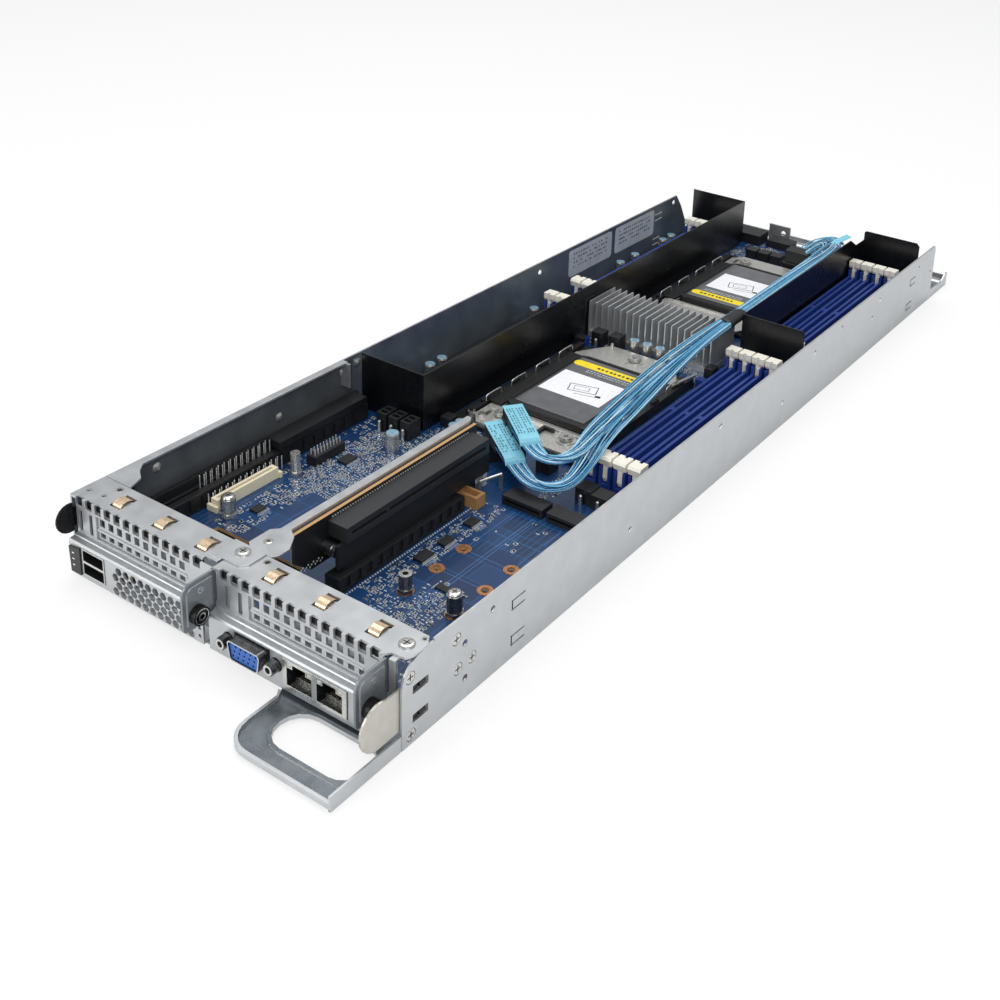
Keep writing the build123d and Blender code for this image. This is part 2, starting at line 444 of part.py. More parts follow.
# Memory sockets: sixteen, in four banks, and eight rows of latches
PITCH = 8.0
RIGHT_X = [47.4 + PITCH * i for i in range(4)]
LEFT_X = [-50.5 - PITCH * i for i in range(4)]
FRONT_Y, REAR_Y, SOCKET = 181.0, 349.0, 146.0
PIVOT_Y, PIVOT_Z, PIN = 3.1, 12.2, 0.7


def pivot_bar(y, reach, r):
    """Four-sided bar along X on the latch axis; r is the distance from the axis to its flats."""
    square = RegularPolygon(r, 4, major_radius=False)
    return Pos(0, y, PIVOT_Z) * Rot(0, 90, 0) * extrude(square, reach, both=True)


def memory_socket():
    """One socket along Y from 0 to its length, centred in X."""
    body = box(-3.1, 3.1, 0, SOCKET, BOARD, 9.4) + box(-2.6, 2.6, 7.4, SOCKET - 7.4, 9.4, 14.2)
    for y0, y1 in ((0, 7.4), (SOCKET - 7.4, SOCKET)):
        body += box(-3.1, -1.7, y0, y1, 9.4, 18.2) + box(1.7, 3.1, y0, y1, 9.4, 18.2)
    body -= [pivot_bar(y, 3.5, PIN + PIN_PLAY) for y in (PIVOT_Y, SOCKET - PIVOT_Y)]
    return body - [box(-0.8, 0.8, 6.0, 76.0, 10.4, 20), box(-0.8, 0.8, 79.0, SOCKET - 6.0, 10.4, 20)]


def latch(side):
    """One latch standing in the end tower; side is -1 at the near end and 1 at the far end."""
    stem = plate_x(-1.4, 1.4, [(0.8, 12.2), (1.7, 10.0), (4.5, 10.0), (5.4, 12.2), (5.6, 19.2), (1.0, 19.2)])
    head = plate_x(-3.5, 3.5, [(0.2, 19.2), (5.8, 19.2), (6.6, 20.6), (6.6, 23.8), (0.2, 23.8), (-0.8, 22.4)])
    body = stem + head - box(-0.8, 0.8, 5.2, 7, 17.5, 25) + pivot_bar(PIVOT_Y, 2.6, PIN * math.sqrt(0.5))
    return body if side < 0 else Pos(0, SOCKET, 0) * mirror(body, Plane.XZ)


one = memory_socket()
for name, xs in (("right", RIGHT_X), ("left", LEFT_X)):
    save(f"memory_sockets_{name}", *[Pos(x, y, 0) * one for y in (FRONT_Y, REAR_Y) for x in xs])
    for bank, y in (("front", FRONT_Y), ("rear", REAR_Y)):
        for end, side in (("near", -1), ("far", 1)):
            piece = latch(side)
            save(f"latches_{name}_{bank}_{end}", *[Pos(x, y, 0) * piece for x in xs])

# Air baffles: folded dark sheet standing on the board
BAF = 0.6
LB = -46.4
left_baffle = plate_x(LB, LB + BAF, [(172, BOARD), (172, HEIGHT), (514, HEIGHT), (514, BOARD + 2),
                                     (508, BOARD)])
left_baffle += plate_y(172, 172 + BAF, [(LB, BOARD), (LB, HEIGHT), (-86.6, HEIGHT), (-86.6, 12),
                                        (-84.6, BOARD)])
left_baffle += plate_y(514 - BAF, 514, [(LB, 8), (LB, HEIGHT), (-86.0, HEIGHT), (-86.0, 8)])
save("left_baffle", left_baffle)
RB = 42.4
right_baffle = plate_x(RB, RB + BAF, [(341, BOARD), (341, HEIGHT), (490, HEIGHT), (500, 31), (514, 31),
                                      (514, BOARD)])
right_baffle += plate_y(341, 341 + BAF, [(RB, BOARD), (RB, HEIGHT), (79.0, HEIGHT), (80.0, 36),
                                         (80.0, BOARD)])
right_baffle += plate_y(514 - BAF, 514, [(RB, BOARD), (RB, 36), (43.6, HEIGHT), (78.0, HEIGHT), (80.0, 35),
                                         (80.0, BOARD)])
save("right_baffle", right_baffle)

# Cable loom: two bundled leads, from the upright plugs at the front to the hooded plug at the rear
LEAD = 3.3
LEAD_A = [(8.3, 166.8, 19.0), (27.3, 154.1, 16.4), (39.0, 153.2, 14.6), (48.6, 160.2, 15.4),
          (50.2, 172.0, 22.2), (48.6, 187.5, 29.5), (47.0, 214.0, 32.0), (42.5, 257.0, 33.0),
          (39.8, 303.0, 33.2), (39.4, 343.0, 33.2), (38.4, 390.0, 33.0), (37.9, 438.0, 33.0),
          (37.2, 476.0, 32.0), (34.0, 497.0, 30.5), (21.0, 507.0, 27.5),
          (8.0, 503.0, 21.0), (4.0, 494.0, 13.0)]
LEAD_B = [(11.9, 174.8, 26.1), (27.7, 162.6, 24.9), (38.5, 163.2, 23.6), (45.4, 171.6, 25.2),
          (44.8, 185.0, 30.0), (42.6, 213.0, 32.3), (38.1, 256.0, 33.0), (35.4, 303.0, 33.2),
          (35.0, 343.0, 33.2), (34.0, 390.0, 33.0), (33.5, 438.0, 33.0), (33.0, 472.0, 32.0),
          (30.0, 489.0, 30.5), (20.5, 497.5, 26.5), (11.0, 493.0, 18.5)]


def lead(points):
    """Six-sided lead along straight runs joined by tangent arcs."""
    v = [Vector(*p) for p in points]
    radii = []
    for a, b, c in zip(v, v[1:], v[2:]):
        half = math.radians((b - a).get_angle(c - b)) / 2
        radii.append(0.45 * min((b - a).length, (c - b).length) / math.tan(half))
    path = FilletPolyline(*points, radius=radii)
    section = Plane(origin=path @ 0, z_dir=path % 0) * RegularPolygon(LEAD / 2, 6)
    tube = sweep(section, path=path)
    drift = tube.volume / (section.area * path.length) - 1
    print("lead", round(path.length, 1), "least radius", round(min(radii), 1), "volume drift", round(drift, 5))
    return tube


lead_a, lead_b = lead(LEAD_A), lead(LEAD_B)
save("cable_front", lead_a)
save("cable_back", lead_b)


def plug(points, foot_z):
    """Upright plug at the start of a lead, with its tag lying over the first stretch."""
    start, after = Vector(*points[0]), Vector(*points[1])
    along = (after - start).normalized()
    side = Vector(0, 0, 1).cross(along).normalized()
    frame = Plane(origin=start, x_dir=along, z_dir=along.cross(side))
    body = frame * (Pos(-8.5, 0, 0) * Box(19, 11, 6))
    body += frame * (Pos(0.5, 0, 3.3) * Box(37, 12.4, 0.6))
    spot = start - along * 12
    yaw = math.degrees(math.atan2(along.Y, along.X))
    lift = Pos(0, 0, (BOARD + foot_z) / 2)
    foot = Pos(spot.X, spot.Y, 0) * Rot(0, 0, yaw) * lift * Box(7, 11, foot_z - BOARD)
    return body + foot


hood = box(-2.0, 16.0, 487.0, 499.0, BOARD, 12.0) + box(-1.0, 15.0, 488.0, 498.0, 12.0, 20.4)
save("cable_plugs", plug(LEAD_A, 20.0) - lead_a, plug(LEAD_B, 26.0) - lead_b, hood - lead_a - lead_b)
strap = box(32.2, 42.4, 330.0, 349.0, 30.4, 36.0) - box(33.0, 41.6, 329.0, 350.0, 31.2, 35.2)
save("cable_strap", strap)

# Board connectors and bracket at the rear edge
rear_mouths = [box(-64.0 + 6 * i, -60.0 + 6 * i, 524, 532, 7.6, 11.4) for i in range(5)]
rear = [box(-66.0, -34.0, 517.0, 531.0, BOARD, 13.0) - rear_mouths,
        box(-30.0, -12.0, 520.0, 531.0, BOARD, 11.0) - box(-28, -14, 526, 532, 7.4, 9.6),
        box(20.0, 38.0, 519.0, 531.0, BOARD, 12.0) - box(22, 36, 526, 532, 7.4, 10.6)]
save("rear_connectors", *rear)
bracket = box(-40.0, -16.0, 536.0, 545.0, SHEET, 2.2) + box(-36.0, -20.0, 536.0, 537.2, 2.2, 17.0)
bracket += plate_x(-36.0, -34.8, [(537.2, 2.2), (545, 2.2), (537.2, 15.0)])
save("rear_bracket", bracket - rod_y(-25.0, 530, 540, 12.0, 1.8))

# Machine screws: two on the top flange, one on the riser strip, five in the right wall, two on posts
def machine_screw(r, h, shank, low):
    """Pan head screw, head standing on z = 0, shank going down."""
    return rod_z(0, 0, 0, h, r) + rod_z(0, 0, low, 0, shank)


screws = [Pos(*TONGUE_SCREW, HEIGHT + 0.8) * machine_screw(3.1, 0.9, 1.5, -4.0),
          Pos(*CORNER_SCREW, HEIGHT) * machine_screw(3.1, 0.9, 1.5, -3.2),
          Pos(*RISER_SCREW, HEIGHT) * machine_screw(1.95, 0.4, 1.5, -3.2)]
screws += [Pos(HALF - 0.85, y, z) * Rot(0, 90, 0) * machine_screw(2.5, 0.8, 1.3, -2.4)
           for y, z in WALL_SCREWS]
screws += [Pos(x, y, BOARD + h) * machine_screw(r - 0.4, 1.5, 1.15, -2.4) for x, y, r, h in POSTS[1:3]]
save("machine_screws", *screws)
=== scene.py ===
# %% [markdown]
# # A half-width server node, dressed over its frame
# The solid model of the sled is loaded first and stays where it is. Every later step either gives one of
# its nodes a finish, or adds a piece that rides on one of its bodies. All sizes below are written in
# millimetres on the sled's own drawing, with y = 0 at the slot fronts; one function turns them into metres.

import math
import random

import bmesh
import bpy
from mathutils import Matrix, Vector


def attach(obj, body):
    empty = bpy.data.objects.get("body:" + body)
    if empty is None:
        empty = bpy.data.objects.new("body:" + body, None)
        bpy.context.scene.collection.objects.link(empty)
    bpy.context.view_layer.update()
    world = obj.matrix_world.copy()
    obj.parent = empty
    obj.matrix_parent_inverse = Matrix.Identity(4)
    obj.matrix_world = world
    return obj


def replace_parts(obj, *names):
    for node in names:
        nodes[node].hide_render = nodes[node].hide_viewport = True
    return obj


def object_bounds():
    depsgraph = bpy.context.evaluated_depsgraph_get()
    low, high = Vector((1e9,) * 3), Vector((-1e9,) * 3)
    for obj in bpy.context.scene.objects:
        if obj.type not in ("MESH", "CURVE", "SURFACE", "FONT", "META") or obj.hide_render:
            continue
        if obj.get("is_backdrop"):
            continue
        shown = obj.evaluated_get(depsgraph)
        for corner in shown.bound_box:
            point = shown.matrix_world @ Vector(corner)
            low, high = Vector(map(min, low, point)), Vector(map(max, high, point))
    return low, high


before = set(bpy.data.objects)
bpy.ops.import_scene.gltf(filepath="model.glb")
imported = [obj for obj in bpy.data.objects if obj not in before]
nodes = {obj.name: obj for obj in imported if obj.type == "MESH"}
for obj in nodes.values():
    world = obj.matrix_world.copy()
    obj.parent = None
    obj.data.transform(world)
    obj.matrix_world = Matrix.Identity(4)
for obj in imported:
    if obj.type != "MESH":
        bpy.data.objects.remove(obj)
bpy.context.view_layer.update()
MIDDLE = 257.0  # the middle of the footprint lies this far behind the slot fronts
chance = random.Random(41)


def at(x, y, z):
    """Point of the drawing, in millimetres, as a point of the frame in metres."""
    return Vector((x / 1000, (y - MIDDLE) / 1000, z / 1000))


def put(name, data):
    """New object that holds the data, linked into the scene."""
    made = bpy.data.objects.new(name, data)
    bpy.context.scene.collection.objects.link(made)
    return made


# %% [markdown]
# ## How a finish is written
# A colour is given as a hex value on screen, but the shader works on linear light, so one function
# converts it. One small function adds a node, sets what it is told to and links the rest. Most finishes here
# are one Principled shader with a noise that shifts colour and roughness a little, because no moulded or
# plated surface is quite even. The noise's size is the real grain of that surface in millimetres; pits finer
# than about half a millimetre would not show in the picture, so they are drawn that coarse.

# %% Colour and node helpers
def srgb(text, alpha=1.0):
    """Hex colour as seen on screen, turned to linear values."""
    parts = [int(text[i:i + 2], 16) / 255 for i in (1, 3, 5)]
    return [c / 12.92 if c <= 0.04045 else ((c + 0.055) / 1.055) ** 2.4 for c in parts] + [alpha]


def add(tree, kind, settings, **links):
    """New node with its settings; a link names an input and gives the socket that feeds it."""
    node = tree.nodes.new(kind)
    for key, value in settings.items():
        if key in node.inputs:
            node.inputs[key].default_value = value
        else:
            setattr(node, key, value)
    for key, source in links.items():
        tree.links.new(source, node.inputs[key.replace("_", " ")])
    return node


print("mid grey on screen is", round(srgb("#808080")[0], 3), "in linear light")

# %% One finish from two close tones
LOW, HIGH = 0.3, 0.7  # nearly all that a noise gives lies between these two


def mixed(tree, factor, low, high):
    """Colour that goes from low to high while the factor goes through the noise's span."""
    ramp = add(tree, "ShaderNodeValToRGB", {}, Fac=factor)
    for stop, place, colour in zip(ramp.color_ramp.elements, (LOW, HIGH), (low, high)):
        stop.position, stop.color = place, colour
    return ramp.outputs["Color"]


def finish(name, light, dark, rough, metallic=0.0, ior=1.5, grain=1.0, relief=0.0, coat=0.0,
           stretch=(1, 1, 1)):
    """One material: two close tones and a roughness span carried by a noise of the given grain in mm."""
    made = bpy.data.materials.new(name)
    made.use_nodes = True
    tree = made.node_tree
    shader = tree.nodes["Principled BSDF"]
    shader.inputs["Metallic"].default_value = metallic
    shader.inputs["IOR"].default_value = ior
    shader.inputs["Coat Weight"].default_value = coat
    place = add(tree, "ShaderNodeTexCoord", {})
    scaled = add(tree, "ShaderNodeMapping", {"Scale": [s * 1000 / grain for s in stretch]},
                 Vector=place.outputs["Object"])
    noise = add(tree, "ShaderNodeTexNoise", {"Scale": 1.0, "Detail": 3.0}, Vector=scaled.outputs["Vector"])
    tree.links.new(mixed(tree, noise.outputs["Fac"], srgb(dark), srgb(light)), shader.inputs["Base Color"])
    span = add(tree, "ShaderNodeMapRange",
               {"From Min": LOW, "From Max": HIGH, "To Min": rough[0], "To Max": rough[1]},
               Value=noise.outputs["Fac"])
    tree.links.new(span.outputs["Result"], shader.inputs["Roughness"])
    if relief:
        bump = add(tree, "ShaderNodeBump", {"Strength": 1.0, "Distance": relief / 1000},
                   Height=noise.outputs["Fac"])
        tree.links.new(bump.outputs["Normal"], shader.inputs["Normal"])
    return made


print("tones shift while the noise goes from", LOW, "to", HIGH)

# %% [markdown]
# ## The metals
# The tray is zinc-plated sheet steel, the load frames are stamped stainless steel, the fins are extruded
# aluminium, the ports are nickel-plated, and the spring fingers are a copper alloy with a thin gold flash.
# A metal keeps the default IOR. Zinc and lacquer are mixed in between 0 and 1 metallic here, because both
# carry a dull skin over the metal, and a full mirror would turn black wherever the room is dark.

# %% Metal finishes
# Cold-rolled and zinc-plated: an even dull grey with faint clouds. Inside, it mirrors the dark bay, and its
# darker copy there is painted shade.
zinc_sheet = finish("zinc-plated sheet steel", "#c4c6c8", "#babdbf", (0.34, 0.44), 0.8, grain=9.0,
                    relief=0.004)
zinc_painted_shade = finish("zinc-plated sheet, shaded side", "#7b858f", "#66707a", (0.34, 0.46), 0.55, grain=18.0)
# Stamped, then tumbled with stones: fine pits keep its highlights soft.
stainless = finish("stamped stainless steel", "#d6d5d1", "#c3c2bd", (0.28, 0.42), 0.8, grain=1.2,
                   relief=0.006)
# Electroplated: nearly smooth, so screws and ports get small sharp highlights.
nickel = finish("nickel plating", "#cfcfcb", "#c8c8c4", (0.2, 0.32), 0.9, grain=2.0)
# Extruded: the die leaves fine lines that run up each fin.
fin_metal = finish("extruded aluminium", "#d4d6d8", "#bfc2c4", (0.3, 0.42), 0.75, grain=1.5,
                   stretch=(1, 1, 0.1))
# Plated far thinner than a hair, so the copper below shows through and the gold looks pale and warm.
gold_flash = finish("gold flash on copper alloy", "#f4dcc0", "#ebcaa6", (0.26, 0.38), 0.8, grain=1.0)
# Rolled and left bare: the reddest thing on the board.
copper_ring = finish("bare copper", "#d39a72", "#c08660", (0.25, 0.4), 1.0, grain=0.8)
# Sprayed and baked over steel: the colour is the pigment's and the shine is satin.
champagne = finish("lacquered steel, champagne", "#c3c0b8", "#b8b5ac", (0.3, 0.4), 0.6, grain=5.0)
handle_paint = finish("grey lacquered steel", "#7b8186", "#70767b", (0.24, 0.34), 0.75, grain=6.0,
                      relief=0.004)
# Passivated in a bath: black, yet it keeps a metal's highlight.
black_zinc = finish("black-passivated steel", "#1a1a1c", "#101012", (0.26, 0.36), 0.6, grain=1.5)
# Melted and set again: surface tension leaves it smooth and bright.
solder = finish("tin solder", "#eceded", "#d9dadb", (0.24, 0.36), 0.6, grain=0.8)
# Tin-plated shells behind the panel stand in its shade, so their tone is set lower.
tin_painted_shade = finish("tin-plated port shell", "#6d6e70", "#58595b", (0.18, 0.3), 0.9, grain=2.0)
print("metals ready")

# %% [markdown]
# ## The plastics, papers and inks
# Sockets are moulded in glass-filled polymers, which come out slightly matt. Baffles are thin polycarbonate
# sheet, smooth enough to mirror a window. The latches are unfilled nylon, so they look like ivory. Each is
# one call of the same function, since they differ in tone, roughness and grain alone.

# %% Plastic and paper finishes
# Moulded with glass fibre: the fibre ends pit the skin, so black comes out dark grey and half matt.
black_moulding = finish("glass-filled polymer, black", "#1b1c1e", "#131416", (0.36, 0.5), grain=0.6,
                        relief=0.006)
socket_black = finish("liquid-crystal polymer, black", "#161719", "#101113", (0.34, 0.48), grain=0.8,
                      relief=0.004)
slot_grey = finish("liquid-crystal polymer, dark grey", "#2b2c2e", "#242527", (0.36, 0.46), grain=1.0)
# Rolled between polished drums: smooth, so it mirrors the room in long soft bands.
baffle_film = finish("black polycarbonate sheet", "#0c0d10", "#08090b", (0.24, 0.32), ior=1.58, grain=30.0)
# Moulded from coloured grains: one even tone, satin, bright along each edge.
slot_blue = finish("blue socket polymer", "#25418f", "#1d367e", (0.32, 0.44), grain=1.0, relief=0.004)
port_blue = finish("port insert, blue", "#2c62b6", "#2557a6", (0.36, 0.46), grain=1.0)
# Moulded without dye: nylon keeps its own ivory, its cousins turn out cream or tan.
ivory_nylon = finish("natural nylon", "#f0ede2", "#e6e2d4", (0.32, 0.42), ior=1.53, grain=1.2)
header_ivory = finish("ivory header polymer", "#efe6cc", "#e3d8ba", (0.36, 0.46), grain=1.0)
tan_polymer = finish("tan connector polymer", "#b3895a", "#a1794b", (0.36, 0.48), grain=0.7)
# Moulded in a polished tool: the dust caps are the glossiest plastic here.
cap_grey = finish("dust cap, smoked grey", "#606265", "#54565a", (0.12, 0.2), grain=6.0, coat=0.4)
# Sprayed steel again: satin grey, a little rough.
retainer_grey = finish("retainer, grey lacquered steel", "#8a8f94", "#7d8287", (0.3, 0.4), 0.5, grain=1.2,
                       relief=0.006)
# Sawn glass cloth and resin: a matt tan edge.
laminate_edge = finish("laminate edge, tan", "#cba271", "#ad8757", (0.5, 0.62), grain=0.5)
# Coated paper and film, then ink printed on them: flat, even and a little matt.
label_paper = finish("white label paper", "#f1f1f4", "#e8e8ec", (0.5, 0.6), grain=2.0)
grey_label = finish("pale grey label film", "#c3c9d0", "#b7bdc5", (0.34, 0.44), grain=5.0)
print_black = finish("printed ink, black", "#26272a", "#1e1f22", (0.5, 0.6), grain=1.0)
print_grey = finish("printed ink, grey", "#5b5f66", "#4d5158", (0.5, 0.6), grain=1.0)
teal_ink = finish("printed ink, teal", "#2f6c80", "#286073", (0.5, 0.6), grain=1.0)
yellow_film = finish("yellow film", "#f4dc22", "#e9cf17", (0.36, 0.46), grain=3.0)
# Extruded sleeves: slippery, with a long thin highlight that a clear coat gives. The light blue is the
# sleeves' own colour; the deep and pale copies of it are painted shade and painted highlight on whole
# strands.
strand_blue = finish("strand sleeve, light blue", "#6bb4d2", "#549fc2", (0.24, 0.34), grain=3.0, coat=0.3)
strand_painted_shade = finish("strand sleeve, painted shade", "#2f7aac", "#256a9a", (0.24, 0.34), grain=3.0, coat=0.3)
strand_painted_highlight = finish("strand sleeve, painted highlight", "#bfdcea", "#a9cddf", (0.24, 0.34), grain=3.0, coat=0.3)
# Woven ribbon: threads break up the shine.
tag_blue = finish("woven tag, light blue", "#86c9dc", "#70b6cc", (0.42, 0.54), grain=0.9, relief=0.01)
# Lacquered sheet, printed sleeves, fired ceramic and screen-printed ink.
slate_lacquer = finish("lacquered steel, slate", "#63676b", "#54585c", (0.34, 0.44), 0.4, grain=12.0)
can_top = finish("capacitor sleeve, pale blue", "#9cc4dc", "#8bb6d0", (0.26, 0.36), 0.4, grain=1.0)
ceramic_tan = finish("ceramic body, tan", "#9c8d74", "#857760", (0.4, 0.5), grain=0.4)
silk_ink = finish("silkscreen ink", "#d6dde0", "#c2cace", (0.45, 0.55), grain=0.6)
# Clear acrylic without light behind it: pale and glossy.
green_lens = finish("unlit green lens", "#c3cbbf", "#b3bbae", (0.2, 0.3), ior=1.49, grain=1.0)
amber_lens = finish("unlit amber lens", "#cdc7b9", "#bdb6a6", (0.2, 0.3), ior=1.49, grain=1.0)
# Copper seen through lacquer: a paler blue than the bare laminate.
track_blue = finish("copper track under lacquer", "#4c78ad", "#3f6a9e", (0.3, 0.4), grain=0.8)
print("finishes", len(bpy.data.materials))

# %% [markdown]
# ## The board's lacquer
# The lacquer is see-through, so large copper areas below it show as paler blue fields with straight edges.
# A picture of the real layout could be laid on it, but a brick pattern gives such fields too: bricks of
# about 24 by 13 mm, which is how far apart the copper areas change here. A wave texture adds parallel
# tracks, only where a noise is high. They lie 2.9 mm apart, far coarser than the real 0.2 mm, because finer
# ones would not show.

# %% The board's lacquer
FIELD_LENGTH, FIELD_WIDTH, FIELD_GAP = 24.0, 13.0, 0.3
board_blue = bpy.data.materials.new("blue solder lacquer on laminate")
board_blue.use_nodes = True
tree = board_blue.node_tree
shader = tree.nodes["Principled BSDF"]
shader.inputs["Roughness"].default_value = 0.3
shader.inputs["IOR"].default_value = 1.52
shader.inputs["Coat Weight"].default_value = 0.25
place = add(tree, "ShaderNodeTexCoord", {})
pours = add(tree, "ShaderNodeTexBrick",
            {"Color1": srgb("#0c2c52"), "Color2": srgb("#113b6a"), "Mortar": srgb("#17487a"), "Scale": 1.0,
             "Mortar Size": FIELD_GAP / 1000, "Brick Width": FIELD_LENGTH / 1000,
             "Row Height": FIELD_WIDTH / 1000},
            Vector=place.outputs["Object"])
# A wave of scale s repeats every 314 / s mm, and a noise of scale s changes about every 1000 / s mm.
tracks = add(tree, "ShaderNodeTexWave",
             {"Scale": 110.0, "Distortion": 0.4, "Detail": 2.0, "bands_direction": "X"},
             Vector=place.outputs["Object"])
patches = add(tree, "ShaderNodeTexNoise", {"Scale": 45.0, "Detail": 1.0}, Vector=place.outputs["Object"])
fine = add(tree, "ShaderNodeMapRange", {"From Min": 0.88, "From Max": 1.0, "To Min": 0.0, "To Max": 0.45},
           Value=tracks.outputs["Fac"])
where = add(tree, "ShaderNodeMapRange", {"From Min": 0.5, "From Max": 0.56}, Value=patches.outputs["Fac"])
amount = add(tree, "ShaderNodeMath", {"operation": "MULTIPLY"})
tree.links.new(fine.outputs["Result"], amount.inputs[0])
tree.links.new(where.outputs["Result"], amount.inputs[1])
blend = add(tree, "ShaderNodeMix", {"data_type": "RGBA"})
tree.links.new(amount.outputs["Value"], blend.inputs[0])
tree.links.new(pours.outputs["Color"], blend.inputs[6])
blend.inputs[7].default_value = srgb("#3b7099")
tree.links.new(blend.outputs[2], shader.inputs["Base Color"])
print("board lacquer has", len(tree.nodes), "nodes")

# %% [markdown]
# ## Dressing the solids
# Each node of the frame gets its finish. Its sharp edges also get a very small rounding, because a bent or
# moulded edge always catches a thin line of light. The imported faces are split where they meet at an
# angle, so they are welded first; both steps are modifiers and leave the frame's own points alone.

# %% Table of finishes and edge roundings
DRESS = [  # finish, edge rounding in mm, nodes
    (zinc_sheet, 0.12, ["vent_panel", "io_panel", "left_slot_frame", "right_slot_frame", "left_slot_cover",
                        "right_slot_cover", "riser_bracket", "tray_base", "rear_bracket"]),
    (gold_flash, 0.05, ["contact_fingers"]),
    (retainer_grey, 0.25, ["left_retainer", "right_retainer"]),
    # The port shell and its posts get the tin with painted shade.
    (tin_painted_shade, 0.12, ["vga_shell", "vga_posts"]),
    (black_zinc, 0.15, ["left_thumbscrew", "right_thumbscrew", "release_tab"]),
    (champagne, 0.15, ["release_lever"]),
    (handle_paint, 0.25, ["pull_handle"]),
    (board_blue, 0, ["motherboard", "riser_card"]),
    (nickel, 0.12, ["board_standoffs", "module_posts", "lan_jack", "usb_stack", "socket_screws",
                    "machine_screws"]),
    (port_blue, 0.08, ["vga_insert"]),
    (black_moulding, 0.15, ["lan_insert", "legend_strip", "riser_socket", "left_riser_socket",
                            "power_headers", "card_connectors", "choke_blocks", "cable_strap",
                            "rear_connectors"]),
    (socket_black, 0.2, ["socket_bases"]),
    (slot_grey, 0.3, ["riser_slot"]),
    (header_ivory, 0.15, ["pale_header"]),
    (tan_polymer, 0.3, ["brown_connector"]),
    (can_top, 0.3, ["capacitors"]),
    (stainless, 0.12, ["load_frames"]),
    (cap_grey, 0.35, ["socket_caps"]),
    (fin_metal, 0.05, ["vrm_heatsink"]),
    (slot_blue, 0.15, ["memory_sockets_right", "memory_sockets_left"]),
    (baffle_film, 0.1, ["left_baffle", "right_baffle"]),
    (ivory_nylon, 0.2, [n for n in nodes if n.startswith("latches")]),
]
print("rows of the table", len(DRESS))

# %% Finish and edge rounding for each node
def soften(piece, width):
    """Rounds the sharp edges of a piece by a width in millimetres."""
    weld = piece.modifiers.new("weld", "WELD")
    weld.merge_threshold = 0.000002
    if width:
        edge = piece.modifiers.new("edge", "BEVEL")
        edge.width = width / 1000
        edge.segments = 2
        edge.limit_method = "ANGLE"
        edge.angle_limit = math.radians(40)
        edge.use_clamp_overlap = True
        edge.harden_normals = True


def paint(piece, material, test):
    """Gives another finish to the faces whose centre (in drawing mm) and normal pass the test."""
    piece.data.materials.append(material)
    index = len(piece.data.materials) - 1
    for face in piece.data.polygons:
        c = face.center
        if test(Vector((c.x * 1000, c.y * 1000 + MIDDLE, c.z * 1000)), face.normal):
            face.material_index = index


for material, width, names in DRESS:
    for name in names:
        nodes[name].data.materials.clear()
        nodes[name].data.materials.append(material)
        soften(nodes[name], width)
print("dressed", sum(len(names) for _, _, names in DRESS), "nodes")

# %% [markdown]
# ## Two tones on one node
# Some faces get a second finish of their own colour; others get painted light: a painted highlight on a
# pressed rim, and painted shade in recesses and slots and on parts that stand in shade.
# Such faces could be cut off as pieces of their own. Here they only get a second finish, chosen by where
# their centres lie and which way they look.

# %% Second finishes
paint(nodes["motherboard"], laminate_edge, lambda c, n: abs(n.z) < 0.5)
paint(nodes["riser_card"], black_moulding, lambda c, n: True)
paint(nodes["riser_card"], laminate_edge, lambda c, n: n.z > 0.8 and c.z > 35)
# Painted shade: the inner face of the left wall and the tray's floor get the darker copy of the zinc.
paint(nodes["tray_base"], zinc_painted_shade, lambda c, n: (c.x < -87.5 and n.x > 0.9) or (n.z > 0.9 and c.z < 1.5))
paint(nodes["capacitors"], nickel, lambda c, n: abs(n.z) < 0.5 and c.y < 200)
paint(nodes["lan_jack"], socket_black, lambda c, n: c.y > -4.6 and 7.3 < c.z < 17.0
      and (38.3 < c.x < 50.7 or 53.1 < c.x < 65.5))
# Painted highlight: the handle's rim, its sides and its top, gets the brighter zinc.
paint(nodes["pull_handle"], zinc_sheet, lambda c, n: abs(n.z) < 0.5 and c.z > 1.5 or n.z > 0.5 and c.z > 3.3)
# Painted shade: the sides of the right bay's posts get the shaded tin.
paint(nodes["module_posts"], tin_painted_shade, lambda c, n: abs(n.z) < 0.5 and c.x > 0)
paint(nodes["socket_caps"], socket_black, lambda c, n: c.z < 13.55)
# Painted shade: the middle of the leftmost front memory socket is black, though the socket is blue.
paint(nodes["memory_sockets_left"], socket_black, lambda c, n: 200 < c.y < 310 and c.x < -70)
# The shell's front rim keeps the bright plating, without the painted shade.
paint(nodes["vga_shell"], nickel, lambda c, n: n.y < -0.9 and c.y < -8.5)
# Painted shade: the lever's outer faces, which show through the wall's slots, are black.
paint(nodes["release_lever"], black_zinc, lambda c, n: c.x > 87.85)
paint(nodes["usb_stack"], black_moulding,
      lambda c, n: c.y > -4.0 and -77.1 < c.x < -64.3 and 6.4 < c.z < 17.7)
# Painted shade: every face but the front in the middle of the insert is black, which darkens its pin holes.
paint(nodes["vga_insert"], black_moulding, lambda c, n: n.y > -0.9 and abs(c.x - 20) < 7.2)
print("finishes per node, at most", max(len(node.data.materials) for node in nodes.values()))

# %% [markdown]
# ## Many small blocks as one piece
# A board carries thousands of tiny parts. Each kind is one mesh built from a list of blocks, which keeps
# the scene light and still gives real edges and shadows.

# %% Block builder
def piece_from(name, verts, faces, material, body="sled"):
    """Mesh object from points in the frame, with its finish, riding on a body."""
    mesh = bpy.data.meshes.new(name)
    mesh.from_pydata(verts, [], faces)
    mesh.materials.append(material)
    mesh.update()
    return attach(put(name, mesh), body)


SIX_SIDES = ((3, 2, 1, 0), (4, 5, 6, 7), (0, 1, 5, 4), (1, 2, 6, 5), (2, 3, 7, 6), (3, 0, 4, 7))


